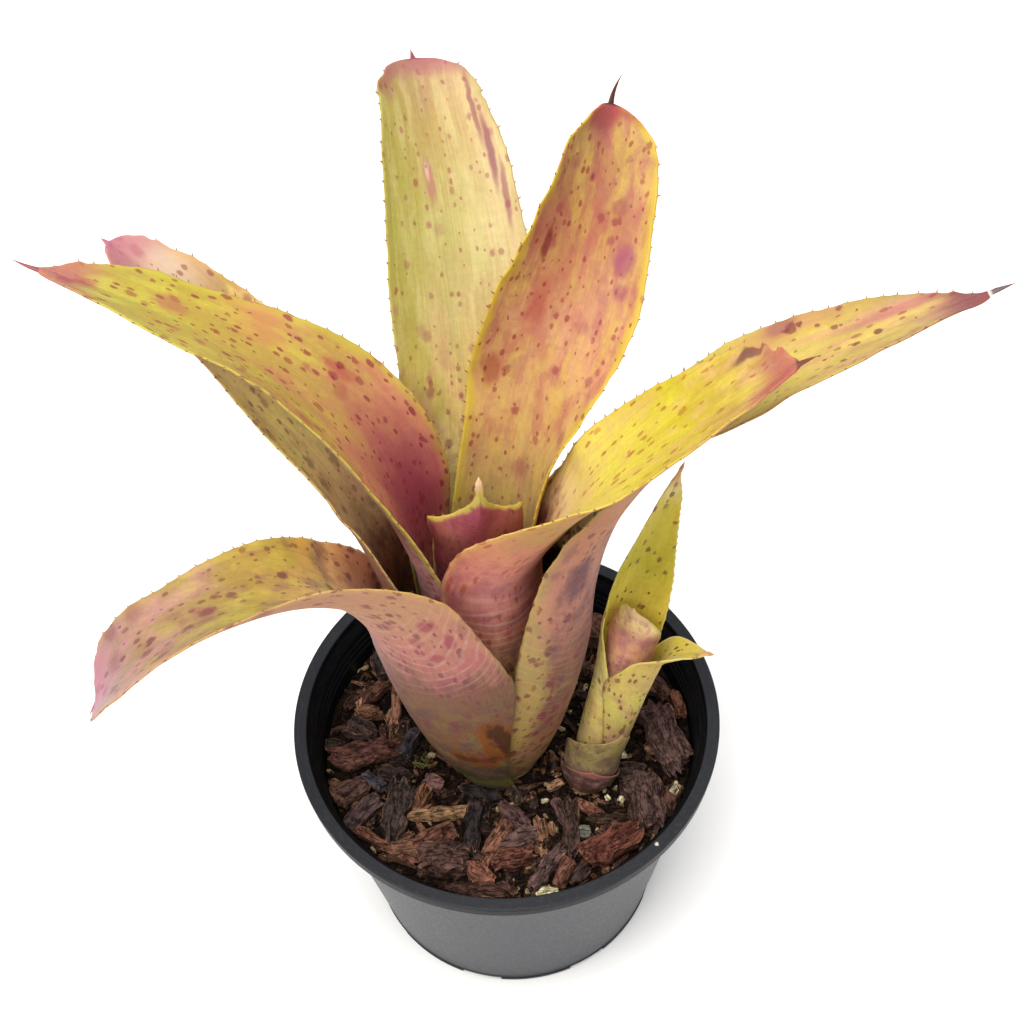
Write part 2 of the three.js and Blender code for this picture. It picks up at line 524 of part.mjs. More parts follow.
/** The whole stem as one body; grow swells it, for the hole that the mix leaves round it. */
function stemSolid(grow) {
  const swollen = (profile) => profile.map(([r, z], i) => {
    const end = i === 0 || i === profile.length - 1;
    return [end ? 0 : r + grow, z + (i < 2 ? -grow : i > profile.length - 3 ? grow : 0)];
  });
  const { x, y, z } = VASE.foot;
  const mother = solidOf(turned(swollen(STEM.profile), STEM.sides).applyMatrix4(vaseLean())
    .translate(x, y, 0));
  const pup = solidOf(turned(swollen(STEM.pupProfile), STEM.sides).applyMatrix4(pupPlace()));
  const from = new THREE.Vector3(x, y, z - STEM.stolonDepth);
  const to = new THREE.Vector3(0, 0, -STEM.stolonStart).applyMatrix4(pupPlace());
  const length = from.distanceTo(to);
  const turn = new THREE.Quaternion().setFromUnitVectors(
    new THREE.Vector3(0, 1, 0), to.clone().sub(from).normalize(),
  );
  const radius = STEM.stolonRadius + grow;
  const stolon = new THREE.CylinderGeometry(radius, radius, length, STEM.stolonSides).applyQuaternion(turn)
   .translate(...from.clone().lerp(to, 0.5).toArray());
  return mother.add(pup).add(solidOf(stolon));
}

/** Room kept clear round a rosette's lowest sheaths. */
function sheathRoom(rosette) {
  const { roomTop, roomFlare, bulgeFrom, sheathThickness } = rosette;
  const from = rosette.firstFoot - FIT_GAP;
  const slices = 6;
  const rings = [[0, from]];
  for (let k = 0; k <= slices; k += 1) {
    const z = THREE.MathUtils.lerp(from, roomTop, k / slices);
    const bulge = Math.max(0, z - bulgeFrom) * roomFlare;
    rings.push([lookUp(rosette.core, z) + sheathThickness + FIT_GAP + bulge, z]);
  }
  rings.push([0, roomTop]);
  return solidOf(turned(rings, STEM.sides).translate(rosette.foot.x, rosette.foot.y, 0));
}

/** Bark-based mix: a filled core with the chips sunk into its surface, open where the stems stand. */
function mixGeometry() {
  const random = randomStream(MIX.seed);
  const { wall, floor, footStep, height, bandHeight, shoulder } = POT;
  const cavityTop = height - bandHeight - shoulder;
  const inner = (z) => wallRadius(z) - wall - footStep - MIX.wallGap;
  const bottom = floor + MIX.wallGap;
  const core = turned([
    [0, bottom], [inner(bottom), bottom], [inner(MIX.level), MIX.level - MIX.dome],
    [MIX.flatRadius, MIX.level], [0, MIX.level],
  ], MIX.sides);
  const cavity = turned([
    [0, bottom], [inner(bottom), bottom], [inner(cavityTop), cavityTop], [0, cavityTop],
  ], POT.sides);
  const pieces = [solidOf(core)];
  const lay = ([x, y, length, width, thickness, yaw], lift) => {
    const chip = chipGeometry(length, width, thickness, random)
      .rotateX(rad(CHIP.rock * (random() - 0.5))).rotateY(rad(CHIP.tip * (random() - 0.5)))
      .rotateZ(rad(yaw)).translate(x, y, MIX.level + lift + CHIP.rise * thickness);
    pieces.push(solidOf(chip));
  };
  fillChips(random).forEach((chip) => lay(chip, CHIP.fillLift));
  CHIPS.forEach((chip) => lay(chip, CHIP.lift));
  let solid = wasm.Manifold.union(pieces).intersect(solidOf(cavity));
  solid = solid.subtract(stemSolid(FIT_GAP)).subtract(sheathRoom(VASE));
  solid = solid.subtract(sheathRoom(PUP).transform(pupPlace().elements));
  return geometryOfSolid(mainBody(solid));
}

// ---------------------------------------------------------------- assembly
const plant = new THREE.Group();
plant.add(namedMesh('pot', potGeometry(), 0x26282c, 0.45));
plant.add(namedMesh('potting_mix', mixGeometry(), 0x4a322a, 0.9));
plant.add(namedMesh('stem', geometryOfSolid(stemSolid(0)), 0x8a7a4a, 0.7));
for (const [name, leaf] of Object.entries(LEAVES)) {
  plant.add(namedMesh(name, leafGeometry(leaf, VASE), leaf.color, 0.5));
}

const pup = new THREE.Group();
pup.applyMatrix4(pupPlace());
for (const [name, leaf] of Object.entries(PUP_LEAVES)) {
  pup.add(namedMesh(name, leafGeometry(leaf, PUP), leaf.color, 0.5));
}
plant.add(pup);

export default plant;
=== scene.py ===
"""Potted neoregelia bromeliad with a pup: the finished surfaces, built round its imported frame.

Sizes are millimetres until the last step, which writes every mesh in metres. +Z is up and the origin is
the centre of the pot's flat underside, as in the frame.
"""
import logging
import math
from collections.abc import Callable, Iterator, Sequence
from dataclasses import dataclass, field, replace
from enum import Enum
from functools import cache, partial
from typing import Any

import bpy
import numpy as np
from mathutils import Matrix, Vector

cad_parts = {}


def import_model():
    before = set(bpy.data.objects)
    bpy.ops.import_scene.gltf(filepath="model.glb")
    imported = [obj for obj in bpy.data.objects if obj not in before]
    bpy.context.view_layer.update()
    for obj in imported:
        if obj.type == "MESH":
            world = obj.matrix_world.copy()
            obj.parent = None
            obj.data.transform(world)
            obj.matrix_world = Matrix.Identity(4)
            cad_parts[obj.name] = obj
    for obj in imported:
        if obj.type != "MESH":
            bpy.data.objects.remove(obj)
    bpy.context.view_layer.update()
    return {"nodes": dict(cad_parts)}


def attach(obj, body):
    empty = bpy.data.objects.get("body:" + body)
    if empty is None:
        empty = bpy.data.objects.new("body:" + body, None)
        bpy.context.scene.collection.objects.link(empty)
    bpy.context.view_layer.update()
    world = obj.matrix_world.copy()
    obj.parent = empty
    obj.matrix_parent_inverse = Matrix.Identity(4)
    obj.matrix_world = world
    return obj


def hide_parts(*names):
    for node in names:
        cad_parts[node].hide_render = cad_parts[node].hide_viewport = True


LOG = logging.getLogger("neoregelia")
METRES = 0.001  # metres in a millimetre
BODY = "root"

Array = np.ndarray
Socket = bpy.types.NodeSocket
Material = bpy.types.Material
Piece = bpy.types.Object
AddNode = Callable[..., Any]  # add_node, bound to one tree
Layer = tuple[Socket | float, Socket | int]  # a share, and the colour that it lays over the ones below
Pair = tuple[float, float]
Triple = tuple[float, float, float]
Curve = tuple[float, ...]  # values at even steps
Ramp = Sequence[tuple[float, int]]  # places and sRGB colours
Faces = list[tuple[int, ...]]

# Settings that many nodes share.
TIMES, TIMES_PLUS = {"operation": "MULTIPLY"}, {"operation": "MULTIPLY_ADD"}
PLUS, MINUS = {"operation": "ADD"}, {"operation": "SUBTRACT"}
SMOOTH = {"interpolation_type": "SMOOTHSTEP"}


# --- small helpers
def srgb(code: int) -> tuple[float, float, float, float]:
    """Turns an sRGB hex colour to linear RGBA.

    Args:
        code: The colour, as 0xRRGGBB.

    Returns:
        Linear red, green, blue and an alpha of 1.
    """
    parts = [((code >> shift) & 255) / 255 for shift in (16, 8, 0)]
    linear = [p / 12.92 if p <= 0.04045 else ((p + 0.055) / 1.055) ** 2.4 for p in parts]
    return (*linear, 1.0)


def add_node(tree: bpy.types.NodeTree, kind: str, inputs: dict | Sequence = (), output: Any = 0,
             stops: Ramp = (), **settings: Any) -> Any:
    """Adds one node, with its settings, values and links.

    Args:
        tree: The node tree.
        kind: The node's type, with or without ShaderNode.
        inputs: Values or sockets to link from, in order or by name or number.
        output: The output to return.
        stops: A colour ramp's stops.
        **settings: The node's settings.

    Returns:
        The output socket, or the node where it has none.
    """
    node = tree.nodes.new(kind if "Node" in kind else "ShaderNode" + kind)
    for name, value in settings.items():
        setattr(node, name, value)
    for key, value in inputs.items() if isinstance(inputs, dict) else enumerate(inputs):
        if isinstance(value, Socket):
            tree.links.new(value, node.inputs[key])
        else:
            node.inputs[key].default_value = value
    if stops:
        elements = node.color_ramp.elements
        while len(elements) < len(stops):
            elements.new(0.5)
        for element, (place, colour) in zip(elements, stops):
            element.position, element.color = place, srgb(colour)
    return node.outputs[output] if len(node.outputs) else node


def layered(add: AddNode, ground: Socket | int, *layers: Layer) -> Socket:
    """Lays colours over one another.

    Args:
        add: Adds a node.
        ground: The lowest colour.
        *layers: The layers, lowest first.

    Returns:
        The colour on top.
    """
    for amount, paint in layers:
        under, over = (srgb(colour) if isinstance(colour, int) else colour for colour in (ground, paint))
        # In colour mode the factor, the colours and the result are at these numbers.
        ground = add("Mix", {0: amount, 6: under, 7: over}, 2, data_type="RGBA")
    return ground


def new_material(name: str) -> tuple[Material, AddNode]:
    """Makes an empty node material.

    Args:
        name: The material's name.

    Returns:
        The material, and what adds a node to it.
    """
    material = bpy.data.materials.new(name)
    material.use_nodes = True
    material.node_tree.nodes.clear()
    return material, partial(add_node, material.node_tree)


def surface(add: AddNode, **inputs: Any) -> None:
    """Ends a material in a Principled shader.

    Args:
        add: Adds a node.
        **inputs: The shader's sockets, with underscores for spaces.
    """
    shader = add("BsdfPrincipled", {key.replace("_", " "): value for key, value in inputs.items()})
    add("OutputMaterial", {"Surface": shader})


def along(values: Sequence[float], u: Array) -> Array:
    """Reads a smooth curve through evenly spaced values.

    Args:
        values: The values.
        u: Places from 0 to 1.

    Returns:
        The curve's value at each place.
    """
    v = np.asarray(values, float)
    last = len(v) - 1
    x = np.clip(u, 0, 1) * last
    i = np.minimum(np.floor(x).astype(int), last - 1)
    f = x - i
    a, b, c, d = (v[np.clip(i + k, 0, last)] for k in (-1, 0, 1, 2))
    bow = (2 * a - 5 * b + 4 * c - d) * f**2
    return 0.5 * (2 * b + (c - a) * f + bow + (3 * b - a - 3 * c + d) * f**3)


def fall(u: Array, window: Sequence[float]) -> Array:
    """Falls smoothly from 1 to 0 across a window.

    Args:
        u: Places.
        window: Where the fall starts and ends.

    Returns:
        The share at each place.
    """
    h = np.clip(1 - (u - window[0]) / (window[1] - window[0]), 0, 1)
    return h * h * (3 - 2 * h)


def each(kind: type, *rows: tuple) -> tuple:
    """Makes one of a kind from each row of values."""
    return tuple(kind(*row) for row in rows)


def unit(v: Array) -> Array:
    """Scales each vector of an array to length 1."""
    return v / np.linalg.norm(v, axis=-1, keepdims=True)


def stacked(*parts: Array | float) -> Array:
    """Joins coordinates into points, each part broadcast to the shape of the others."""
    return np.stack(np.broadcast_arrays(*parts), -1)


def corner_weights(f: Array) -> Iterator[tuple[Array, Array]]:
    """Weights of a unit cell's eight corners.

    Args:
        f: Places in the cell, from 0 to 1 on each axis.

    Yields:
        Each corner, 0 or 1 on each axis, and its weights.
    """
    for corner in range(8):
        step = np.array([(corner >> k) & 1 for k in range(3)])
        yield step, np.prod(np.where(step == 1, f, 1 - f), axis=-1)


def hash_noise(points: Array, seed: int) -> Array:
    """Smooth value noise in three dimensions.

    Args:
        points: The points, one noise cell to each unit.
        seed: Picks the pattern.

    Returns:
        Noise from -1 to 1.
    """
    base = np.floor(points).astype(np.int64)
    f = points - base
    total = np.zeros(points.shape[:-1])
    for step, weight in corner_weights(f * f * (3 - 2 * f)):
        cell = base + step
        h = (cell[..., 0] * 374761393 + cell[..., 1] * 668265263 + cell[..., 2] * 2147483647
             + seed * 1274126177) & 0x7FFFFFFF
        h = ((h ^ (h >> 13)) * 1103515245) & 0x7FFFFFFF
        total += weight * (((h ^ (h >> 16)) & 0xFFFF) / 0xFFFF)
    return 2 * total - 1


def random_stream(seed: int) -> Iterator[float]:
    """The frame's own seeded number stream, so that each chip lies where its solid does.

    Args:
        seed: The stream's seed.

    Yields:
        Numbers from 0 to 1.
    """
    word = 0xFFFFFFFF
    state = seed & word
    while True:
        state = (state + 0x6D2B79F5) & word
        t = ((state ^ (state >> 15)) * (state | 1)) & word
        t ^= (t + (((t ^ (t >> 7)) * (t | 61)) & word)) & word
        yield ((t ^ (t >> 14)) & word) / 4294967296


def mesh_object(name: str, points: Array, faces: Sequence[Sequence[int]], material: Material | None = None,
                **attributes: Array) -> Piece:
    """Makes a smooth mesh object at the origin.

    Args:
        name: Its name.
        points: Its points, in millimetres.
        faces: Its faces, as point numbers.
        material: Its material.
        **attributes: One number or three for each point.

    Returns:
        The linked object.
    """
    mesh = bpy.data.meshes.new(name)
    mesh.from_pydata((np.asarray(points) * METRES).tolist(), [], [tuple(f) for f in faces])
    for key, values in attributes.items():
        values = np.asarray(values, np.float32)
        kind, slot = ("FLOAT", "value") if values.ndim == 1 else ("FLOAT_VECTOR", "vector")
        mesh.attributes.new(key, kind, "POINT").data.foreach_set(slot, values.ravel())
    mesh.validate()
    mesh.shade_smooth()
    if material:
        mesh.materials.append(material)
    made = bpy.data.objects.new(name, mesh)
    bpy.context.scene.collection.objects.link(made)
    return made


def dress(piece: Piece, slot: str, *nodes: str) -> None:
    """Hands a piece to the frame: it rides on the body and stands for the nodes named.

    Args:
        piece: The finished piece.
        slot: Its material slot; not used.
        *nodes: Frame nodes that it replaces.
    """
    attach(piece, BODY)
    if nodes:
        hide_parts(*nodes)
    piece.data.calc_loop_triangles()
    LOG.info("%s: %d triangles", piece.name, len(piece.data.loop_triangles))


@dataclass
class Grown:
    """Geometry Nodes that stand one small shape on many places, then make the result plain mesh."""

    def instances(self, add: AddNode, given: bpy.types.NodeOutputs) -> Socket:
        """Stands the shape on the given geometry; each kind of growth has its own."""
        raise NotImplementedError

    def grow(self, piece: Piece, **values: float | int | Material) -> None:
        """Grows the shapes and keeps them as the piece's mesh.

        Args:
            piece: What they grow on.
            **values: The tree's named inputs.
        """
        tree = bpy.data.node_groups.new(piece.name, "GeometryNodeTree")
        face, mesh_name = tree.interface, piece.data.name
        face.new_socket("Geometry", in_out="OUTPUT", socket_type="NodeSocketGeometry")
        face.new_socket("Geometry", in_out="INPUT", socket_type="NodeSocketGeometry")
        modifier = piece.modifiers.new(piece.name, "NODES")
        for name, value in values.items():
            kind = {float: "Float", int: "Int"}.get(type(value), "Material")
            face.new_socket(name, in_out="INPUT", socket_type="NodeSocket" + kind)
        modifier.node_group = tree
        for item in face.items_tree:
            if item.in_out == "INPUT" and item.name in values:
                modifier[item.identifier] = values[item.name]
        add, given = partial(add_node, tree), tree.nodes.new("NodeGroupInput").outputs
        real = add("GeometryNodeRealizeInstances", (self.instances(add, given),))
        dressed = add("GeometryNodeSetMaterial", {"Geometry": real, "Material": given["Material"]})
        add("NodeGroupOutput", (dressed,))
        bpy.context.view_layer.update()
        graph, old = bpy.context.evaluated_depsgraph_get(), piece.data
        mesh = bpy.data.meshes.new_from_object(piece.evaluated_get(graph), preserve_all_data_layers=True,
                                               depsgraph=graph)
        piece.modifiers.clear()
        piece.data = mesh
        bpy.data.meshes.remove(old)
        mesh.name = mesh_name


# --- leaf shapes
@dataclass(frozen=True)
class Rosette:
    """The core that one plant's leaf sheaths nest round."""

    foot: Triple
    lean: float
    core: tuple[Pair, ...]
    layer_gap: float
    bulge: Pair
    first_foot: float
    foot_step: float
    sheath: float
    rib: float
    edge: float
    smallest: float
    spine: float
    spine_step: float
    toothed_from: float
    step: float
    place: Matrix = field(default_factory=lambda: Matrix.Identity(4))

    def radius(self, layer: float, z: Array) -> Array:
        """Radius of a layer's sheath at a height."""
        heights, radii = zip(*self.core)
        return np.maximum(np.interp(z, heights, radii) - self.layer_gap * layer, self.smallest)


@dataclass(frozen=True)
class LeafShape:
    """One strap leaf: where it is seated and how its midrib, section and margins run."""

    azimuth: float
    layer: float
    bulge: float
    sheath_top: float
    blade: float
    pitch: Curve
    yaw: Curve
    roll: Curve
    cup: Curve
    half_width: Curve
    tip: Triple
    spike: float
    shift: Curve = (0.0, 0.0)
    hold: Pair = (0.05, 0.5)
    turn: Pair = (-0.25, 0.1)
    smooth: bool = False
    wave: float = 0.45
    hook: Pair = (0.0, 0.0)
    ragged: float = 0.0


VASE = Rosette(
    foot=(-3, -3, 86), lean=-0.033,
    core=((80, 14.5), (84, 16), (90, 17.6), (100, 20.5), (115, 23.5), (135, 26), (155, 27.5), (175, 28),
          (250, 28)),
    layer_gap=1.8, bulge=(88, 178), first_foot=83.5, foot_step=2.2, sheath=1, rib=1.6, edge=0.7,
    smallest=5, spine=1.15, spine_step=5.2, toothed_from=0.03, step=0.95)

PUP_BASE, PUP_TILT, PUP_TOWARDS = Vector((27, -16.5, 86)), math.radians(20), math.radians(42)
PUP_AXIS = Vector((math.sin(PUP_TILT) * math.cos(PUP_TOWARDS),
                   math.sin(PUP_TILT) * math.sin(PUP_TOWARDS), math.cos(PUP_TILT)))
PUP = Rosette(
    foot=(0, 0, 0), lean=0,
    core=((-2, 6.4), (0, 7.4), (5, 8.8), (11, 10.2), (17, 11.6), (26, 12.1), (45, 12.8), (60, 14),
          (90, 16.5)),
    layer_gap=1.5, bulge=(10, 70), first_foot=-1, foot_step=1.5, sheath=0.7, rib=1.1, edge=0.6,
    smallest=2.4, spine=0.5, spine_step=3.4, toothed_from=0.2, step=0.6,
    place=Matrix.Translation(PUP_BASE) @ Vector((0, 0, 1)).rotation_difference(PUP_AXIS).to_matrix()
    .to_4x4())
# The pup's bracts cling: they swell over the foot and close in again at their rims.
PUP_FOOT = replace(PUP, bulge=(4, 15), rib=0.8, edge=0.35, sheath=0.5, layer_gap=1.1,
                   core=((-2, 6.6), (0, 8.0), (4, 9.9), (9, 11.0), (14, 11.0), (20, 11.4), (60, 14)))


# --- leaf finishes
class Face(Enum):
    """Which face of a leaf a mark lies on: 1 is the upper face, 0 the under face."""

    UPPER = 1
    UNDER = 0
    BOTH = -1


UPPER, UNDER, BOTH = Face


@dataclass(frozen=True)
class Spots:
    """Anthocyanin spots: dark red freckles in the cuticle, longer along the leaf, in millimetres."""

    across: float
    length: float
    share: Triple
    colour: int
    strength: float = 0.8
    radius: float = 0.3
    seed: float = 0.0
    soft: float = 0.3


@dataclass(frozen=True)
class Cloud:
    """A soft flush or stain in the cuticle, or painted shade low on a sheath, drawn out along the leaf, over
    a share of its surface.
    """

    colour: int
    size: Pair
    strength: float
    cover: float = 0.5
    span: Pair = (-1.0, 1.0)
    face: Face = BOTH
    seed: float = 0.0


@dataclass(frozen=True)
class Patch:
    """One mark on a leaf, by its middle and half sizes in millimetres across and along the leaf."""

    across: float
    at: float
    half: Pair
    colour: int
    strength: float = 0.8
    soft: float = 0.5
    face: Face = UPPER
    ragged: float = 0.5


@dataclass(frozen=True)
class LeafFinish:
    """Waxy leaf cuticle: satin, finely veined, flushed and freckled red, with a pale spiny margin."""

    name: str
    upper: Ramp
    under: Ramp
    clouds: tuple[Cloud, ...] = ()
    margin: int = 0xCFBE48
    margin_mm: float = 2.4
    margin_strength: float = 0.6
    tip: int = 0xA85A62
    tip_mm: float = 12.0
    tip_strength: float = 0.8
    spike: int = 0x5A3326
    bleached: float = 0.0
    spots: tuple[Spots, ...] = ()
    patches: tuple[Patch, ...] = ()
    sides: tuple[int, int] = (0xC8B060, 0xC8B060)
    side_share: float = 0.0
    streak: int = 0xA8504A
    streak_share: float = 0.16
    arcs: float = 0.2
    arc_gap: float = 4.0
    arc_span: Pair = (-0.5, 0.25)
    scurf: float = 0.2
    roughness: float = 0.42
    vein_gap: float = 0.9
    glow: float = 0.45
    value: float = 0.78
    seed: float = 0.0


class LeafPaint:
    """The node tree of one leaf's cuticle, painted by the places that the leaf's mesh carries."""

    def __init__(self, finish: LeafFinish) -> None:
        """Reads where each point lies on the leaf.

        Args:
            finish: The leaf's colours and marks.
        """
        self.finish = finish
        self.made, self.add = new_material(finish.name)
        self.place, part = (self.add("Attribute", output="Vector", attribute_name=name)
                            for name in ("place", "part"))
        self.rib, self.station, self.to_tip = self.add("SeparateXYZ", (part,)).node.outputs
        self.edge, inner = (self.add("Attribute", output="Fac", attribute_name=name)
                            for name in ("edge", "inner"))
        self.faces = {UPPER: inner, UNDER: self.add("Math", (1.0, inner), **MINUS)}
        self.offset = self.add("VectorMath", (self.place, (finish.seed, 3 * finish.seed, 0)), **PLUS)
        # Slow wander, which makes every border uneven.
        self.wobble = self.add("Math", (self.grain(0.16, 0.07, 4.0, 0.6), 0.5), **MINUS)

    def grain(self, across: float, length: float, detail: float, roughness: float = 0.5,
              shift: float = 0.0) -> Socket:
        """Makes cloudy noise that is drawn out along the leaf.

        Args:
            across: Waves to a millimetre across.
            length: Waves to a millimetre along.
            detail: How many finer layers it has.
            roughness: How strong those are.
            shift: Picks another part of it.

        Returns:
            The noise, round 0.5.
        """
        drawn = self.add("VectorMath", (self.offset, (across, length, 1), (shift, 5 * shift, 0)),
                         **TIMES_PLUS)
        return self.add("TexNoise", {"Vector": drawn, "Scale": 1.0, "Detail": detail,
                                     "Roughness": roughness})

    def kept(self, amount: Socket, face: Face, *windows: Pair) -> Socket:
        """Keeps a mark to one face of the leaf and to a stretch of it.

        Args:
            amount: The mark's strength.
            face: The face that it lies on.
            *windows: Where along the leaf it is gone, and where it is whole.

        Returns:
            The new strength.
        """
        shares = [self.add("MapRange", (self.station, *window), **SMOOTH) for window in windows]
        shares += [self.faces[face]] if face in self.faces else []
        for share in shares:
            amount = self.add("Math", (amount, share), **TIMES)
        return amount

    def within(self, distance: Socket, ragged: float, near: float, far: float, strength: float) -> Socket:
        """Fills what lies within a distance, up to an uneven soft border.

        Args:
            distance: The distance.
            ragged: How uneven the border is.
            near: Where it starts to fade.
            far: Where it is gone.
            strength: Its strength inside.

        Returns:
            The strength.
        """
        uneven = self.add("Math", (self.wobble, ragged, distance), **TIMES_PLUS)
        return self.add("MapRange", (uneven, near, far, strength, 0.0), **SMOOTH)

    def sides(self) -> Iterator[Layer]:
        """Tints the two halves of the upper face apart.

        Yields:
            The tint of each half.
        """
        if self.finish.side_share:
            moved = self.add("Math", (self.wobble, 1.2, self.rib), **TIMES_PLUS)
            for side, tint in zip((-1, 1), self.finish.sides):
                share = self.add("MapRange", (moved, 0.0, 0.95 * side, 0.0, self.finish.side_share),
                                 **SMOOTH)
                yield self.kept(share, UPPER), tint

    def cloud(self, cloud: Cloud) -> Layer:
        """Lays one flush, stain or painted shade over the leaf in soft clouds drawn out along it.

        Args:
            cloud: The flush, stain or painted shade.

        Returns:
            Its layer.
        """
        noise = self.grain(1 / cloud.size[0], 1 / cloud.size[1], 5.0, 0.62, cloud.seed)
        least = 0.62 - 0.24 * cloud.cover
        amount = self.add("MapRange", (noise, least - 0.06, least + 0.12, 0.0, cloud.strength), **SMOOTH)
        start, end = cloud.span
        windows = [(start, start + 0.25)] * (start > -1) + [(end, end - 0.25)] * (end < 1)
        return self.kept(amount, cloud.face, *windows), cloud.colour

    def streaks(self) -> Layer:
        """Draws the fine red streaks that follow the veins of the blade.

        Returns:
            Their layer.
        """
        # Streaks are a little over 1 mm wide and some 17 mm long.
        lines = self.grain(0.75, 0.06, 4.0, 0.6)
        amount = self.add("MapRange", (lines, 0.52, 0.72, 0.0, self.finish.streak_share), **SMOOTH)
        return self.kept(amount, BOTH, (-0.5, 0.1)), self.finish.streak

    def veins(self) -> Socket:
        """Makes the fine parallel veins and a soft mottling.

        Returns:
            The colour's value.
        """
        # The veins keep their real gap, and run on for 30 mm. The mottling has cells of 2 mm.
        lines = self.grain(1 / self.finish.vein_gap, 0.035, 3.0, 0.65)
        value = self.add("MapRange", (lines, 0.25, 0.75, 0.92, 1.07))
        mottle = self.add("MapRange", (self.grain(0.55, 0.55, 4.0, 0.7), 0.25, 0.75, 0.88, 1.08))
        return self.add("Math", (value, mottle), **TIMES)

    def margin(self) -> Layer:
        """Lays the pale margin, which thins out towards the foot.

        Returns:
            Its layer.
        """
        finish, wide = self.finish, self.finish.margin_mm
        amount = self.within(self.edge, 2.2 * wide, 0.35 * wide, 1.3 * wide, finish.margin_strength)
        return self.kept(amount, BOTH, (-0.15, 0.15)), finish.margin

    def patch(self, patch: Patch) -> Layer:
        """Lays one soft-edged mark.

        Args:
            patch: The mark.

        Returns:
            Its layer.
        """
        moved = self.add("VectorMath", (self.place, (patch.across, patch.at, 0)), **MINUS)
        scaled = self.add("VectorMath", (moved, (1 / patch.half[0], 1 / patch.half[1], 0)), **TIMES)
        reach = self.add("VectorMath", (scaled,), "Value", operation="LENGTH")
        amount = self.within(reach, 2 * patch.ragged, 1 - patch.soft, 1 + patch.soft, patch.strength)
        return self.kept(amount, patch.face), patch.colour

    def spots(self, spots: Spots) -> Layer:
        """Scatters one size of spot.

        Args:
            spots: Their size, share and colour.

        Returns:
            Their layer.
        """
        ragged = self.add("TexNoise", {"Vector": self.offset, "Scale": 0.9, "Detail": 1.0}, "Color")
        scaled = self.add("VectorMath", (self.offset, (1 / spots.across, 1 / spots.length, 0)), **TIMES)
        pushed = self.add("VectorMath", (ragged, (0.22, 0.22, 0), scaled), **TIMES_PLUS)
        seeded = self.add("VectorMath", (pushed, (spots.seed, 7 * spots.seed, 0)), **PLUS)
        cells = self.add("TexVoronoi", {"Vector": seeded, "Scale": 1.0},
                         voronoi_dimensions="2D").node.outputs
        chance, bulk, ink = self.add("SeparateColor", (cells["Color"],)).node.outputs
        low, middle, high = spots.share
        down = self.add("MapRange", (self.station, -0.6, 0.3, low, middle))
        share = self.add("MapRange", (self.station, 0.3, 1.0, down, high))
        there = self.add("Math", (chance, share), operation="LESS_THAN")
        skewed = self.add("Math", (bulk, 1.8), operation="POWER")
        size = self.add("MapRange", (skewed, 0.0, 1.0, 0.45 * spots.radius, 1.3 * spots.radius))
        near = self.add("Math", (cells["Distance"], size), operation="DIVIDE")
        disc = self.add("MapRange", (near, 1 - spots.soft, 1 + spots.soft, spots.strength, 0.0), **SMOOTH)
        inked = self.add("Math", (disc, self.add("MapRange", (ink, 0.0, 1.0, 0.7))), **TIMES)
        return self.add("Math", (inked, there), **TIMES), spots.colour

    def scales(self) -> Layer:
        """Dusts the under face with pale scales, gathered in thin smiling arcs across the sheath.

        Returns:
            Their layer.
        """
        finish = self.finish
        x, y, _ = self.add("SeparateXYZ", (self.place,)).node.outputs
        curved = self.add("Math", (self.add("Math", (x, x), **TIMES), -0.014, y), **TIMES_PLUS)
        uneven = self.add("Math", (self.grain(0.035, 0.05, 2.0, 0.35), 4 * finish.arc_gap, curved),
                          **TIMES_PLUS)
        turns = self.add("Math", (uneven, math.tau / finish.arc_gap), **TIMES)
        wave = self.add("Math", (turns,), operation="SINE")
        lines = self.add("MapRange", (wave, 0.3, 1.0, 0.0, finish.arcs), **SMOOTH)
        broken = self.add("MapRange", (self.grain(0.12, 0.3, 5.0, 0.75), 0.35, 0.65, 0.2, 1.3))
        start, end = finish.arc_span
        arcs = self.kept(self.add("Math", (lines, broken), **TIMES), BOTH,
                         (start, start + 0.25), (end, end - 0.2))
        # A scale is 0.1 mm across and is drawn at 0.45 mm, or it would not show.
        dust = self.add("MapRange", (self.grain(2.2, 2.2, 4.0, 0.85), 0.52, 0.72, 0.0, finish.scurf))
        return self.kept(self.add("Math", (arcs, dust), **PLUS), UNDER), 0xD8B8AC

    def tip(self) -> Iterator[Layer]:
        """Lays the flushed tip, its papery end where it has one, and its dry brown spike.

        Yields:
            Each of their layers.
        """
        finish, wide, pale = self.finish, self.finish.tip_mm, self.finish.bleached
        yield self.within(self.to_tip, 0.8 * wide, 0.45 * wide, 1.35 * wide, finish.tip_strength), finish.tip
        if pale:
            yield self.within(self.to_tip, 0.0, 0.85 * pale, pale, 0.9), 0xE6DCD4
        yield self.within(self.to_tip, 0.0, 0.3 * pale, 0.4 * pale + 1.2, 0.9), finish.spike

    def relief(self) -> tuple[Socket, Socket]:
        """Makes the vein relief and the uneven gloss, duller on the scaly under face.

        Returns:
            The normal and roughness sockets.
        """
        pits, gloss = self.grain(0.8, 0.8, 4.0), self.finish.roughness
        lines = self.grain(1 / self.finish.vein_gap, 0.02, 2.0)
        height = self.add("Math", (pits, 0.5, lines), **TIMES_PLUS)
        normal = self.add("Bump", {"Height": height, "Strength": 0.35, "Distance": 0.00035})
        uneven = self.add("MapRange", (pits, 0.3, 0.7, gloss - 0.06, gloss + 0.1))
        return normal, self.add("Math", (self.faces[UNDER], 0.14, uneven), **TIMES_PLUS)

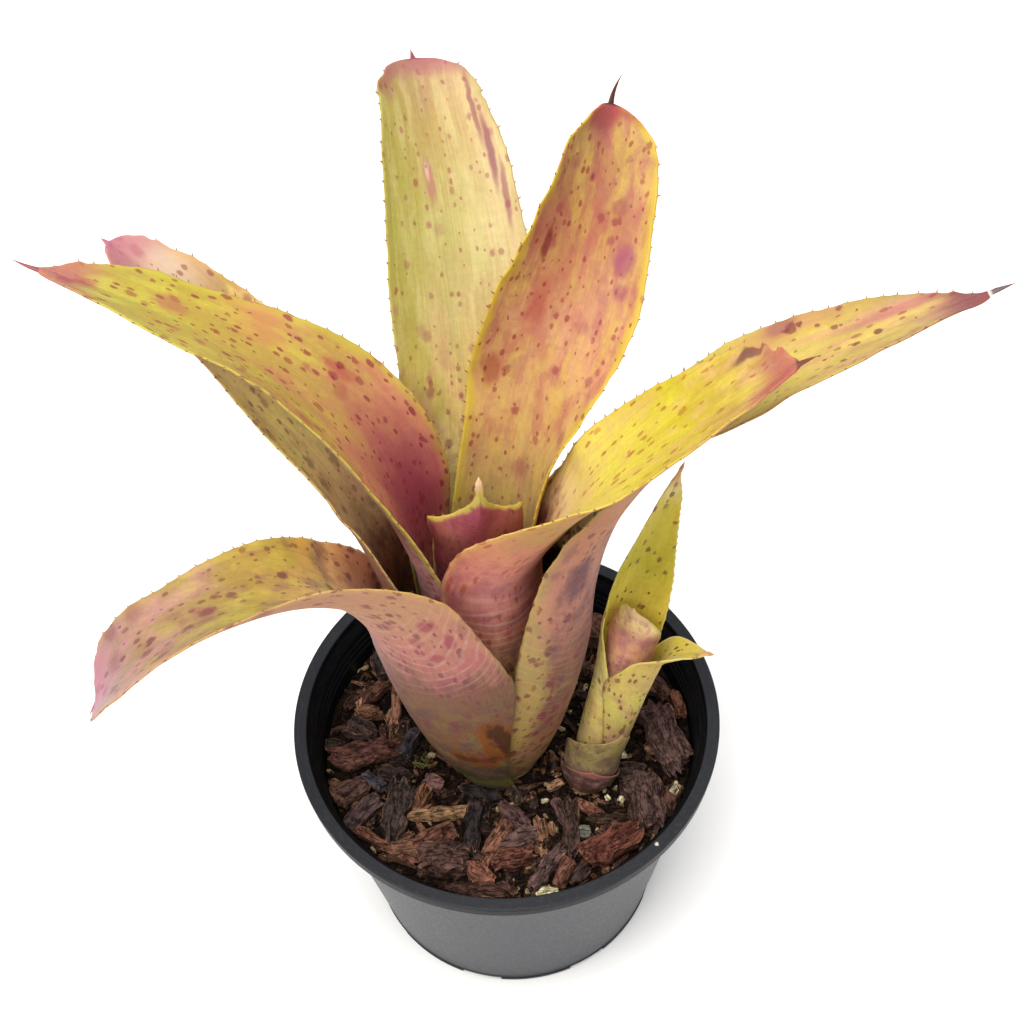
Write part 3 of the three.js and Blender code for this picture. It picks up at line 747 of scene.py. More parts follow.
    def material(self) -> Material:
        """Lays every colour over the faces' own, and ends in the waxy surface.

        Returns:
            The material.
        """
        finish, add = self.finish, self.add
        moved = add("Math", (self.wobble, 0.28, self.station), **TIMES_PLUS)
        share = add("MapRange", (moved, -1.0, 1.0))
        under, upper = (add("ValToRGB", (share,), stops=[((u + 1) / 2, paint) for u, paint in sorted(stops)])
                        for stops in (finish.under, finish.upper))
        colour = layered(add, under, (self.faces[UPPER], upper), *self.sides(),
                         *map(self.cloud, finish.clouds), self.streaks())
        colour = add("HueSaturation", {"Value": self.veins(), "Color": colour})
        colour = layered(add, colour, self.margin(), *map(self.patch, finish.patches),
                         *map(self.spots, finish.spots), self.scales(), *self.tip())
        colour = add("HueSaturation", {"Value": finish.value, "Color": colour})
        normal, rough = self.relief()
        surface(add, Base_Color=colour, Roughness=rough, Normal=normal, IOR=1.45,
                Specular_IOR_Level=0.25, Subsurface_Weight=finish.glow,
                Subsurface_Radius=(1.0, 0.75, 0.35), Subsurface_Scale=0.0022)
        return self.made


# --- leaves
@dataclass
class Leaf:
    """One leaf of a rosette: its closed blade, its marginal spines and its finish."""

    name: str
    slot: str
    rosette: Rosette
    shape: LeafShape
    finish: LeafFinish
    columns: int = 41
    fine_end: float = 14.0
    fine_step: float = 0.45
    spike_rows: int = 12
    sheath_steps: int = 30
    blade_steps: int = 90

    @property
    def axes(self) -> tuple[Array, Array]:
        """Directions away from the core and sideways, where the leaf is seated."""
        azimuth = math.radians(self.shape.azimuth)
        out = np.array([math.cos(azimuth), math.sin(azimuth), 0])
        return out, np.array([-out[1], out[0], 0])

    def midrib(self) -> tuple[Array, Array, Array]:
        """The midrib up the sheath and along the blade.

        Returns:
            Points, their places from -1 at the foot to 1 at the tip, and their yaw.
        """
        shape, rosette, (out, side) = self.shape, self.rosette, self.axes
        foot = rosette.first_foot + rosette.foot_step * shape.layer
        rise = np.arange(self.sheath_steps + 1) / self.sheath_steps
        z = foot + (shape.sheath_top - foot) * rise
        swell = np.clip((z - rosette.bulge[0]) / (rosette.bulge[1] - rosette.bulge[0]), 0, 1)
        reach = rosette.radius(shape.layer, z) + shape.bulge * swell
        centre = stacked(rosette.foot[0] + rosette.lean * (z - rosette.foot[2]), rosette.foot[1], z)
        wall = centre + reach[:, None] * out
        u = np.arange(self.blade_steps + 1) / self.blade_steps
        pitch, yaw = np.radians(along(shape.pitch, u)), np.radians(along(shape.yaw, u))
        heading = np.cos(yaw)[:, None] * out + np.sin(yaw)[:, None] * side
        direction = np.cos(pitch)[:, None] * heading
        direction[:, 2] = np.sin(pitch)
        steps = 0.5 * shape.blade / self.blade_steps * (direction[1:] + direction[:-1])
        blade = wall[-1] + np.vstack([np.zeros(3), np.cumsum(steps, axis=0)])
        return (np.vstack([wall[:-1], blade]), np.concatenate([rise[:-1] - 1, u]),
                np.concatenate([np.zeros(self.sheath_steps), yaw]))

    def spine_distances(self, total: float) -> list[Array]:
        """Where the spines stand along each margin, unevenly spaced.

        Args:
            total: The midrib's length.

        Returns:
            Distances from the foot for the two margins.
        """
        if self.shape.smooth:
            return [np.zeros(0), np.zeros(0)]
        random = np.random.default_rng(int(self.shape.azimuth * 7) % 997)
        start = (total - self.shape.blade) * (1 + self.rosette.toothed_from)
        count = int((total - start - 2) / self.rosette.spine_step)
        sides = [start + np.cumsum(self.rosette.spine_step * random.uniform(0.7, 1.3, count))
                 for _ in range(2)]
        return [places[places < total - 2] for places in sides]

    def stations(self, total: float) -> Array:
        """Distances along the midrib that have a cross-section, finer towards the tip.

        Args:
            total: The midrib's length.

        Returns:
            The distances, on into the spike.
        """
        coarse_end = total - self.fine_end
        coarse = np.linspace(0, coarse_end, int(coarse_end / self.rosette.step), endpoint=False)
        fine = np.linspace(coarse_end, total, int(self.fine_end / self.fine_step))
        spike = total + self.shape.spike * np.arange(1, self.spike_rows + 1) / self.spike_rows
        return np.concatenate([coarse, fine, spike])

    def widths(self, share: Array, from_tip: Array) -> Array:
        """Half width of the leaf, rounded off at its tip and drawn out to the spike.

        Args:
            share: Places along the midrib, from 0 to 1.
            from_tip: Distances to the tip.

        Returns:
            The half widths.
        """
        length, rounding, power = self.shape.tip
        q = np.clip(1 - from_tip / length, 0, 1)
        width = np.maximum(along(self.shape.half_width, share) * (1 - q**rounding) ** power, 1)
        return width * np.clip(1 + from_tip / max(self.shape.spike, 0.1), 0.12, 1)

    def bumps(self, sign: int, places: Array, distance: Array, u: Array, from_tip: Array) -> Array:
        """How far one margin stands out: a swelling under each spine, slow waves and a ragged tip.

        Args:
            sign: Which margin, -1 or 1.
            places: Where its spines stand.
            distance: Distances from the foot.
            u: Places along the leaf.
            from_tip: Distances to the tip.

        Returns:
            The reach past the plain margin.
        """
        swellings = np.exp(-(((distance[:, None] - places[None, :]) / 0.9) ** 2)).sum(1)
        lane = 9.0 * sign + self.shape.azimuth
        slow = hash_noise(stacked(distance / 8, lane, 0.0), 17)
        torn = hash_noise(stacked(distance / 2.4, lane, 0.0), 31)
        near = np.clip(1 - from_tip / 24, 0, 1) * np.clip(from_tip / 2.5, 0, 1)
        free = np.clip(from_tip / 6, 0, 1) * np.clip(3 * u, 0, 1) * min(1, 2.5 * self.shape.wave)
        return 0.25 * swellings + 0.4 * free * slow + self.shape.ragged * near * (torn + 0.6 * slow)

    def sections(self) -> dict[str, Array]:
        """Works out every cross-section.

        Returns:
            Their arrays by name.
        """
        shape, rosette, (out, side) = self.shape, self.rosette, self.axes
        points, stations_u, yaws = self.midrib()
        steps = np.linalg.norm(np.diff(points, axis=0), axis=1)
        lengths = np.concatenate([[0], np.cumsum(steps)])
        total = lengths[-1]
        distance = self.stations(total)
        inside = np.minimum(distance, total)
        past, from_tip = (distance - inside)[:, None], total - distance
        tangents = unit(np.gradient(points, lengths, axis=0))
        at, tangent = (np.stack([np.interp(inside, lengths, rows[:, k]) for k in range(3)], 1)
                       for rows in (points, tangents))
        tangent = unit(tangent)
        u = np.interp(inside, lengths, stations_u)
        blade_u = np.maximum(u, 0)
        ease = np.minimum(1, blade_u / 0.25)
        swing = (np.interp(inside, lengths, yaws) * ease)[:, None]
        across = side * np.cos(swing) - out * np.sin(swing)
        square = unit(np.cross(tangent, across))
        level = fall(u, shape.turn)[:, None]
        inward = unit(-out * level + square * (1 - level))
        roll = (np.radians(along(shape.roll, blade_u)) * ease)[:, None]
        axis_b = across * np.cos(roll) + inward * np.sin(roll)
        axis_n = inward * np.cos(roll) - across * np.sin(roll)
        up, sideways = shape.hook
        bend_over = past**2 / max(shape.spike, 1)
        at = at + tangent * past + axis_n * up * bend_over + axis_b * sideways * bend_over
        width = self.widths(inside / total, from_tip)
        hold = fall(u, shape.hold)
        cup = np.radians(along(shape.cup, blade_u))
        bend = cup / np.maximum(width, 6) * (1 - hold) + hold / rosette.radius(shape.layer, at[:, 2])
        spread = np.linspace(-1, 1, self.columns)
        x = spread * (1.3 - 0.3 * spread**2)
        reach = np.tile(width[:, None], (1, self.columns))
        for sign, places in zip((-1, 1), self.spine_distances(total)):
            reach += (np.sign(x) == sign) * self.bumps(sign, places, distance, u, from_tip)[:, None]
        angle = (x + along(shape.shift, inside / total)[:, None]) * reach * bend[:, None]
        bend, angle = bend[:, None, None], angle[..., None]
        axis_b, axis_n = axis_b[:, None], axis_n[:, None]
        middle = at[:, None] + np.sin(angle) / bend * axis_b + (1 - np.cos(angle)) / bend * axis_n
        normal = np.cos(angle) * axis_n - np.sin(angle) * axis_b
        margin_out = np.cos(angle) * axis_b + np.sin(angle) * axis_n
        edge = (1 - np.abs(x)) * width[:, None]
        rib = rosette.edge + (rosette.rib - rosette.edge) * (1 - x**2)
        thick = rib + (rosette.sheath - rib) * fall(u, (-0.1, 0.3))[:, None]
        round_in = np.clip(edge / 0.9, 0, 1)
        half = np.minimum(0.5 * thick * np.sqrt(1 - (1 - round_in) ** 2), 0.55 * width[:, None])
        middle = middle + normal * self.undulation(distance, x, u, from_tip)[..., None]
        return {"middle": middle, "normal": normal, "half": half, "edge": edge, "x": x, "u": u,
                "distance": distance, "from_tip": from_tip, "across": x * width[:, None],
                "margin_out": margin_out, "tangent": tangent, "total": total}

    def undulation(self, distance: Array, x: Array, u: Array, from_tip: Array) -> Array:
        """Slow waves of the blade, strongest at its margins, with a shallow channel on the midrib.

        Args:
            distance: Distances from the foot.
            x: Places across the leaf, -1 to 1.
            u: Places along the leaf.
            from_tip: Distances to the tip.

        Returns:
            The push along each normal.
        """
        free = (1 - fall(u, (0.05, 0.3))) * np.clip(from_tip / 6, 0, 1)
        grid = stacked(distance[:, None] / 17, 1.2 * x[None, :], self.shape.azimuth)
        slow = hash_noise(grid, 11) * (0.25 + 0.75 * np.abs(x) ** 2)
        quick = hash_noise(grid * np.array([2.6, 1, 1]), 23) * np.abs(x) ** 3
        channel = -0.35 * np.exp(-((x / 0.12) ** 2))
        return free[:, None] * (self.shape.wave * (1.4 * slow + 0.7 * quick) + channel)

    @staticmethod
    def ringed(values: Array) -> Array:
        """Lays a station-by-column array round each closed section, down one face and back up the other."""
        return np.concatenate([values, values[:, -2:0:-1]], axis=1).ravel()

    def faces(self, points: Array, rows: int) -> Faces:
        """Joins the closed sections and fills the two ends.

        Args:
            points: The points, ring by ring.
            rows: How many rings there are.

        Returns:
            The faces, turned outwards by the sign of their volume.
        """
        ring = 2 * self.columns - 2
        faces = [(a + j, a + (j + 1) % ring, a + ring + (j + 1) % ring, a + ring + j)
                 for a in range(0, (rows - 1) * ring, ring) for j in range(ring)]
        for base, turn in ((0, 1), ((rows - 1) * ring, -1)):
            for j in range(self.columns - 1):
                quad = [base + j, base + j + 1, base + (ring - j - 1) % ring, base + (ring - j) % ring]
                faces.append(tuple(dict.fromkeys(quad))[::turn])
        corners = points[np.array([face[:3] for face in faces])]
        volume = np.einsum("ij,ij", corners[:, 0], np.cross(corners[:, 1], corners[:, 2]))
        return faces if volume > 0 else [face[::-1] for face in faces]

    def build(self) -> None:
        """Builds the blade and its spines, and hands them to the frame."""
        s = self.sections()
        rows, columns = s["edge"].shape
        push = s["normal"] * s["half"][..., None]
        upper, lower = s["middle"] + push, s["middle"] - push
        points = np.concatenate([upper, lower[:, -2:0:-1]], axis=1).reshape(-1, 3)
        distance, x, u, from_tip = (self.ringed(part * np.ones((rows, columns))) for part in (
            s["distance"][:, None], s["x"], s["u"][:, None], s["from_tip"][:, None]))
        inner = np.zeros((rows, 2 * columns - 2))
        inner[:, :columns] = 1
        inner[:, [0, columns - 1]] = 0.5
        blade = mesh_object(
            self.name + "_blade", self.placed(points), self.faces(points, rows),
            LeafPaint(self.finish).material(), place=stacked(self.ringed(s["across"]), distance, 0.0),
            part=stacked(x, u, from_tip), edge=self.ringed(s["edge"]), inner=inner.ravel())
        dress(blade, self.slot, self.name)
        if not self.shape.smooth:
            self.spines(s)

    def placed(self, points: Array) -> Array:
        """Moves points from the rosette's own frame to the part's."""
        place = np.array(self.rosette.place)
        return points @ place[:3, :3].T + place[:3, 3]

    def spines(self, s: dict[str, Array]) -> None:
        """Stands the hooked spines along both margins.

        Args:
            s: The sections.
        """
        roots, outs, runs, sizes = [], [], [], []
        random = np.random.default_rng(int(self.shape.azimuth * 3) % 991)
        turn = np.array(self.rosette.place)[:3, :3]
        for column, sign, places in zip((0, -1), (-1, 1), self.spine_distances(float(s["total"]))):
            for distance in places:
                i = int(np.argmin(np.abs(s["distance"] - distance)))
                outward = sign * s["margin_out"][i, column]
                fade = min(1, 0.3 + 2.4 * max(float(s["u"][i]), 0))
                roots.append(s["middle"][i, column] - 0.25 * outward)
                outs.append(turn @ outward)
                runs.append(turn @ s["tangent"][i])
                sizes.append(self.rosette.spine * fade * random.uniform(0.75, 1.2))
        seeds = mesh_object(self.name + "_spines", self.placed(np.array(roots)), [], out=np.array(outs),
                            run=np.array(runs), size=np.array(sizes))
        Spines().build(seeds)
        dress(seeds, self.slot)


@dataclass(frozen=True)
class SpineWax:
    """Marginal spine: waxy leaf tissue at its root, hardened to a dark red-brown point."""

    root: int = 0xB08A50
    point: int = 0x6A3A30

    @cache
    def material(self) -> Material:
        """Builds the finish once, coloured from each spine's root to its point.

        Returns:
            The material.
        """
        material, add = new_material("hardened spine cuticle")
        grow = add("Attribute", output="Fac", attribute_name="grow")
        share = add("MapRange", (grow, 0.05, 0.5), **SMOOTH)
        surface(add, Base_Color=layered(add, self.root, (share, self.point)), Roughness=0.4, IOR=1.45)
        return material


@dataclass
class Spines(Grown):
    """Hooked, tapering spines, one on each root point."""

    base: float = 0.3
    hook: float = 0.7
    sides: int = 6
    steps: int = 5

    def build(self, seeds: Piece) -> None:
        """Grows the spines on a mesh of root points, and keeps the result as its mesh.

        Args:
            seeds: The root points.
        """
        self.grow(seeds, Base=self.base, Hook=self.hook, Material=SpineWax().material())
        seeds.data.shade_smooth()

    def instances(self, add: AddNode, given: bpy.types.NodeOutputs) -> Socket:
        """Sweeps a shrinking circle along a hooked curve and stands it on each root.

        Args:
            add: Adds a node.
            given: The tree's inputs.

        Returns:
            The instances.
        """
        lean = add("CombineXYZ", {"X": given["Hook"], "Z": 1.0})
        spine = add("GeometryNodeCurveQuadraticBezier", {
            "Resolution": self.steps, "Start": (0.0, 0.0, -0.25), "Middle": (0.0, 0.0, 0.55), "End": lean})
        factor = add("GeometryNodeSplineParameter", output="Factor")
        named = add("GeometryNodeStoreNamedAttribute", {"Geometry": spine, "Name": "grow", "Value": factor},
                    data_type="FLOAT", domain="POINT")
        eased = add("Math", (add("MapRange", (factor, 0.0, 1.0, 1.0, 0.04)), 1.3), operation="POWER")
        thick = add("Math", (eased, given["Base"]), **TIMES)
        sized = add("GeometryNodeSetCurveRadius", {"Curve": named, "Radius": thick})
        ring = add("GeometryNodeCurvePrimitiveCircle", {"Resolution": self.sides, "Radius": 1.0},
                   mode="RADIUS")
        tube = add("GeometryNodeCurveToMesh", {"Curve": sized, "Profile Curve": ring, "Fill Caps": True,
                                               "Scale": thick})
        out, run, size = (add("GeometryNodeInputNamedAttribute", {"Name": name}, "Attribute", data_type=kind)
                          for name, kind in (("out", "FLOAT_VECTOR"), ("run", "FLOAT_VECTOR"),
                                             ("size", "FLOAT")))
        turn = add("FunctionNodeAxesToRotation", {"Primary Axis": out, "Secondary Axis": run},
                   primary_axis="Z", secondary_axis="X")
        return add("GeometryNodeInstanceOnPoints", {
            "Points": given["Geometry"], "Instance": tube, "Rotation": turn,
            "Scale": add("Math", (size, METRES), **TIMES)})


# --- the plant's leaves
LEAVES = (
    Leaf("leaf_front_left", "leaf_blade", VASE, LeafShape(
        azimuth=215, layer=0, bulge=9.5, sheath_top=174, blade=139, pitch=(87, 64, 19, -27, -62),
        yaw=(-4, -10, -19, -30), roll=(8, 26, 24, 3), cup=(50, 53, 50, 28, 38),
        half_width=(19, 27, 35, 40, 34, 28, 23, 19, 18), shift=(0.08, 0.03, 0.05, 0.1, 0.05, 0, 0, 0, 0),
        hold=(0, 0.55), tip=(26, 2.4, 0.55), spike=8, wave=0.7, ragged=0.7), LeafFinish(
        # The pale stop at 0.12 is partly the leaf's pale centre and partly painted light, lifting the
        # proximal stretch that lies in shade.
        "leaf cuticle, olive and rose", upper=((-1, 0x8A7A3C), (-0.1, 0x9A7640), (0.12, 0xF8CC9A),
            (0.3, 0xE0B660), (0.55, 0xA08842), (0.8, 0x9C7E5A), (1, 0xA88488)),
        under=((-1, 0x4E4C34), (-0.8, 0x4A3E2C), (-0.5, 0x744E34), (-0.2, 0x7A5038), (0.0, 0x7C523E),
            (0.12, 0xB07264), (0.3, 0xBC8A66), (1, 0xB4826C)),
        clouds=each(Cloud, (0x8E5E58, (7, 12), 0.6, 0.4, (-0.1, 0.95), UPPER),
            (0xC8C04A, (9, 26), 0.45, 0.4, (0.1, 0.9), UPPER, 3.1),
            (0xC48A92, (12, 26), 0.5, 0.5, (0.5, 1.3), UPPER, 4.7),
            (0xB45864, (8, 9), 0.5, 0.5, (-0.1, 0.3), UNDER, 1.2),
            (0x4E3E44, (8, 8), 0.6, 0.5, (-1, 0.0), UNDER, 2.2),
            (0x7A6A38, (8, 9), 0.65, 0.5, (-1, 0.0), UNDER, 5.3)),
        spots=each(Spots, (2.2, 4, (0.15, 0.35, 0.25), 0x6E2E3A, 0.7),
            (5, 7, (0.15, 0.25, 0.2), 0x702E3E, 0.75, 0.34, 3.3, 0.45),
            (12, 11, (0.1, 0.2, 0.35), 0x80424E, 0.5, 0.32, 6.2, 0.6)),
        patches=each(Patch, (30, 57, (6.5, 17), 0x7E4410, 0.9, 0.22, UNDER, 1.3),
            (22, 41, (11, 6), 0x7A4210, 0.85, 0.25, UNDER, 1.6),
            (31, 56, (3.6, 13), 0x3A1C06, 0.85, 0.3, UNDER, 2.2),
            (21, 41, (7, 2.6), 0x3A1C06, 0.7, 0.35, UNDER, 2.2),
            (22, 12, (20, 5), 0x8A8640, 0.6, 0.6, UNDER), (22, 126, (3.0, 2.2), 0x943C4A, 0.75, 0.4, UNDER),
            (26, 118, (1.6, 2.8), 0x943C4A, 0.75, 0.4, UNDER),
            (20, 112, (2.8, 1.8), 0x943C4A, 0.7, 0.4, UNDER),
            # The lavender-grey patch at -16 mm across, on the under face, is a painted sheen along the
            # sheath's left side.
            (16, 120, (2.0, 2.0), 0x943C4A, 0.6, 0.4, UNDER), (-16, 92, (9, 26), 0x9A8090, 0.4, 0.7, UNDER),
            (-30, 112, (18, 14), 0xCC7A68, 0.5, 0.6)),
        tip=0xB87088, tip_mm=10, tip_strength=0.5, spike=0xA85868, margin_strength=0.15, arcs=0.22,
        arc_gap=4.6, arc_span=(-0.12, 0.36), scurf=0.1, seed=1.3)),
    Leaf("leaf_right", "leaf_blade", VASE, LeafShape(
        azimuth=-2, layer=1.4, bulge=11.5, sheath_top=166, blade=195, pitch=(89, 74, 48, 24, 16),
        yaw=(1, 3, 7, 12), roll=(-1, -19, -16, -22), cup=(50, 48, 37, 29, 29),
        half_width=(25, 33, 40, 37, 31, 25, 21, 16, 9), tip=(40, 1.8, 0.72), spike=6, wave=0.6,
        ragged=0.9), LeafFinish(
        "leaf cuticle, gold and rose", upper=((-1, 0x2A1E12), (0.03, 0x2A1C10), (0.12, 0xD8BC70),
            (0.6, 0xD8C464), (0.8, 0xB69C58), (1, 0xB08474)),
        under=((-1, 0x9A7E54), (-0.7, 0xA07450), (-0.45, 0x885A3E), (-0.25, 0x7E4C3A), (0.0, 0x7A4A34),
            (0.2, 0xBA7A66), (0.35, 0xB87A50), (1, 0xA46040)),
        clouds=each(Cloud, (0xD89088, (6, 30), 0.5, 0.5, (0.55, 1.3), UPPER),
            (0xD8D050, (8, 30), 0.4, 0.4, (0.2, 1.0), UPPER, 2.4),
            (0x5A3E44, (9, 12), 0.5, 0.5, (-0.6, 0.5), UNDER, 3.3),
            (0x96803C, (10, 16), 0.4, 0.4, (-1, 0.1), UNDER, 5.1)),
        spots=each(Spots, (2.2, 5, (0.3, 0.25, 0.2), 0x8A3A34, 0.7),
            (5.5, 6.5, (0.7, 0.12, 0.06), 0x6C2230, 0.8, 0.32, 2.3, 0.35),
            (3, 3.6, (0.5, 0.15, 0.1), 0x66222A, 0.8, 0.3, 7.3)),
        patches=each(Patch, (-34, 60, (6, 64), 0xB49C50, 0.65, 0.5, UNDER),
            (-19, 124, (5, 8), 0x5A2E40, 0.75, 0.5, UNDER), (4, 90, (13, 60), 0x64485A, 0.55, 0.7, UNDER),
            (16, 205, (4.0, 50), 0xA8784C, 0.55, 0.7), (18, 216, (3.0, 5), 0x8A4458, 0.6, 0.5),
            (7, 248, (2.0, 16), 0xA85C68, 0.55, 0.6), (2, 274, (12, 12), 0x8E5450, 0.7, 0.7)),
        tip=0x7E4448, tip_mm=15, spike=0x4A3430, bleached=2.6, margin=0x8A8A40, margin_strength=0.3,
        arcs=0.1, seed=4.1)),
    Leaf("leaf_back_left", "leaf_blade", VASE, LeafShape(
        azimuth=152, layer=2.4, bulge=5, sheath_top=176, blade=150, pitch=(80, 63, 49, 39, 28),
        yaw=(0, -1, -1, -2), roll=(-2, 8, 10, 18), cup=(45, 46, 33, 29, 31),
        half_width=(16, 30, 37, 37, 31, 25, 21, 16, 13), tip=(26, 2.4, 0.5), spike=2.5, wave=0.7,
        ragged=0.9), LeafFinish(
        "leaf cuticle, cream and orange", upper=((-1, 0x463424), (-0.1, 0x76603A), (0.1, 0xA86C48),
            # The near-white stops from 0.25 to 0.66 are painted light: they lift the stretch of the upper
            # face that the leaf above shades.
            (0.25, 0xFFDCA8), (0.5, 0xFFEC88), (0.66, 0xF8E090), (0.76, 0xB8985E), (0.88, 0xB69878),
            (1, 0xB08480)),
        under=((-1, 0x6A5A38), (-0.4, 0x7C5A48), (0.0, 0x906860), (0.5, 0xB08A68), (1, 0xA86A6C)),
        clouds=each(Cloud, (0xC88E60, (7, 18), 0.4, 0.45, (-1, 1), UPPER),
            (0x744850, (9, 10), 0.55, 0.5, (-1, 0.35), UPPER, 2.6),
            (0xB8B04C, (8, 26), 0.4, 0.4, (0.1, 0.8), UPPER, 4.4),
            # The purple-grey cloud on the under face, low on the sheath, is painted shade.
            (0x5A4248, (9, 10), 0.5, 0.5, (-1, 0.2), UNDER, 1.7)),
        spots=each(Spots, (2.2, 3.6, (0.3, 0.35, 0.2), 0x8A3A38, 0.7),
            (6, 8, (0.3, 0.35, 0.2), 0x8A3E42, 0.6, 0.32, 4.4, 0.5)),
        patches=each(Patch, (-6, 224, (6, 13), 0xE8D4BC, 0.45, 0.8)), tip=0xB46A7C, tip_mm=12,
        tip_strength=0.65, spike=0xA8687A, margin_strength=0.15, seed=7.7)),
    Leaf("leaf_front_right", "leaf_blade", VASE, LeafShape(
        azimuth=-21, layer=4.2, bulge=0, sheath_top=206, blade=128, pitch=(69, 61, 53, 49, 38),
        yaw=(-2, 5, 12, 19), roll=(-10, -7, -4, -11), cup=(50, 51, 35, 30, 30),
        half_width=(12, 20, 25, 25, 27, 26, 23, 18, 14),
        shift=(-0.1, -0.15, -0.2, -0.33, -0.32, -0.1, 0, 0, 0), hold=(0.05, 0.6), turn=(-0.15, 0.08),
        tip=(24, 2.0, 0.6), spike=6, wave=0.6, ragged=2.2, hook=(0, -0.1)), LeafFinish(
        "leaf cuticle, bright yellow", upper=((-1, 0x4A2A28), (-0.1, 0x602C34), (0.07, 0x8A483C),
            (0.15, 0xF0CC94), (0.35, 0xE2D05E), (0.65, 0xC8B82E), (0.85, 0xB8964A), (1, 0xB08A74)),
        under=((-1, 0xD0A070), (-0.4, 0xE8B47C), (-0.2, 0xC0745A), (0.0, 0xC47A70), (0.12, 0xD08468),
            (0.3, 0xBC8C4C), (1, 0xB88050)),
        clouds=each(Cloud, (0xE0D850, (8, 22), 0.4, 0.45, (0.1, 1), UPPER),
            (0xE0B080, (6, 14), 0.4, 0.4, (-1, 1), UPPER, 3.7),
            (0x9A4A5A, (9, 9), 0.5, 0.5, (-1, 0.3), UNDER, 1.1),
            (0x6A4440, (6, 7), 0.5, 0.45, (-1, 0.1), UNDER, 6.1)),
        spots=each(Spots, (2.2, 6, (0.2, 0.3, 0.25), 0x9A3428, 0.65),
            (5, 9, (0.1, 0.12, 0.2), 0x9A3A2C, 0.6, 0.22, 5.5)),
        patches=each(Patch, (11.6, 229, (1.7, 9), 0x5E2A40, 0.75, 0.35),
            (-8, 238, (6, 9), 0xA84848, 0.6, 0.5)),
        tip=0xAA5250, tip_mm=12, tip_strength=0.7, spike=0x6A322E, margin=0xC8B040, margin_strength=0.3,
        arcs=0.38, arc_gap=5.2, arc_span=(-0.4, 0.08), scurf=0.3, seed=9.2)),
    Leaf("leaf_back", "leaf_blade", VASE, LeafShape(
        azimuth=91, layer=3.3, bulge=0, sheath_top=190, blade=152, pitch=(76, 62, 51, 42, 34),
        yaw=(-4, 1, 7, 14), roll=(0, 8, 14, 26), cup=(45, 44, 36, 34, 22),
        half_width=(11, 22, 26, 27, 25, 24, 24, 22, 18), hold=(-0.1, 0.3), tip=(15, 2.6, 0.5), spike=3,
        ragged=1.3), LeafFinish(
        # The pale stop at 0.12 is partly the leaf's pale centre and partly painted light, lifting the low
        # stretch that lies in shade inside the rosette.
        "leaf cuticle, cream and lime", upper=((-1, 0x7A6444), (-0.1, 0xC8B468), (0.12, 0xFFF09C),
            (0.3, 0xDCC078), (0.5, 0xBEAC6E), (0.65, 0xBCB26E), (0.85, 0xB69C5E), (1, 0xB4906C)),
        under=((-1, 0x6A5A38), (-0.4, 0x7C5A48), (0.0, 0x906860), (0.5, 0xB89A68), (1, 0xB07070)),
        clouds=each(Cloud, (0xC89078, (8, 14), 0.45, 0.45, (-1, 0.6), UPPER),
            (0xDCD094, (5, 40), 0.4, 0.45, (0.3, 1), UPPER, 3.3),
            # The purple-grey cloud on the under face, low on the sheath, is painted shade.
            (0x5A4248, (9, 10), 0.5, 0.5, (-1, 0.2), UNDER, 1.7)),
        spots=each(Spots, (2.4, 3.4, (0.35, 0.2, 0.22), 0x963A4A, 0.65),
            (5, 6, (0.35, 0.18, 0.1), 0x963C54, 0.6, 0.26, 8.1, 0.45),
            (9, 10, (0.1, 0.14, 0.1), 0xA06A60, 0.4, 0.3, 3.1, 0.6)),
        patches=each(Patch, (4, 214, (1.8, 6), 0xB0606E, 0.6, 0.6, UPPER, 1.4),
            (4.6, 217, (0.6, 2.6), 0xE4C4B0, 0.6, 0.7),
            (-15.2, 234, (0.9, 10), 0x8A3A4E, 0.7, 0.5, UPPER, 0.2),
            (-17.2, 221, (1.2, 11), 0x823450, 0.8, 0.5, UPPER, 0.2),
            (-19.6, 207, (1.0, 10), 0x863850, 0.7, 0.5, UPPER, 0.2),
            (-6, 252, (15, 4), 0x9A5A58, 0.5, 0.9, UPPER, 1.4), (14, 246, (3, 6), 0x9E5462, 0.5, 0.6)),
        tip=0xB06A74, tip_mm=6, tip_strength=0.6, spike=0x8A4050, margin=0x98944A, margin_strength=0.3,
        sides=(0xD2B88A, 0xA8A43A), side_share=0.65, seed=12.4)),
    Leaf("leaf_left", "leaf_blade", VASE, LeafShape(
        azimuth=168, layer=5.4, bulge=0, sheath_top=200, blade=161, pitch=(82, 68, 43, 26, 12),
        yaw=(-5, -3, -2, -3), roll=(-9, 4, 19, 24), cup=(46, 44, 40, 21, 29),
        half_width=(9, 17, 20, 20, 24, 25, 21, 17, 11), shift=(0, 0.08, 0.14, 0.18, 0.05, 0, 0, 0, 0),
        hold=(0, 0.45), tip=(34, 2.0, 0.6), spike=8, wave=0.6, ragged=1.0, hook=(0.2, 0.15)), LeafFinish(
        "leaf cuticle, lime and magenta", upper=((-1, 0x8A5458), (0.0, 0xC07A5C), (0.12, 0xD07C70),
            (0.25, 0xD0906E), (0.45, 0xB2904E), (0.75, 0xB29C3E), (0.9, 0xAA9A48), (1, 0xB09488)),
        under=((-1, 0x6C4A3E), (-0.1, 0x744844), (0.06, 0xC49098), (0.2, 0x845E5A), (1, 0x8C6262)),
        clouds=each(Cloud, (0xC07860, (7, 16), 0.6, 0.5, (0.1, 0.75), UPPER),
            (0xC8C048, (9, 24), 0.5, 0.45, (0.25, 1), UPPER, 2.9),
            # The purple-grey cloud on the under face, low on the sheath, is painted shade.
            (0x5A4248, (9, 10), 0.4, 0.5, (-1, 0.2), UNDER, 1.7)),
        spots=each(Spots, (2.2, 4.6, (0.5, 0.45, 0.3), 0x821C34, 0.8),
            (4.6, 8, (0.3, 0.25, 0.2), 0x88243A, 0.75, 0.25, 5.1, 0.35),
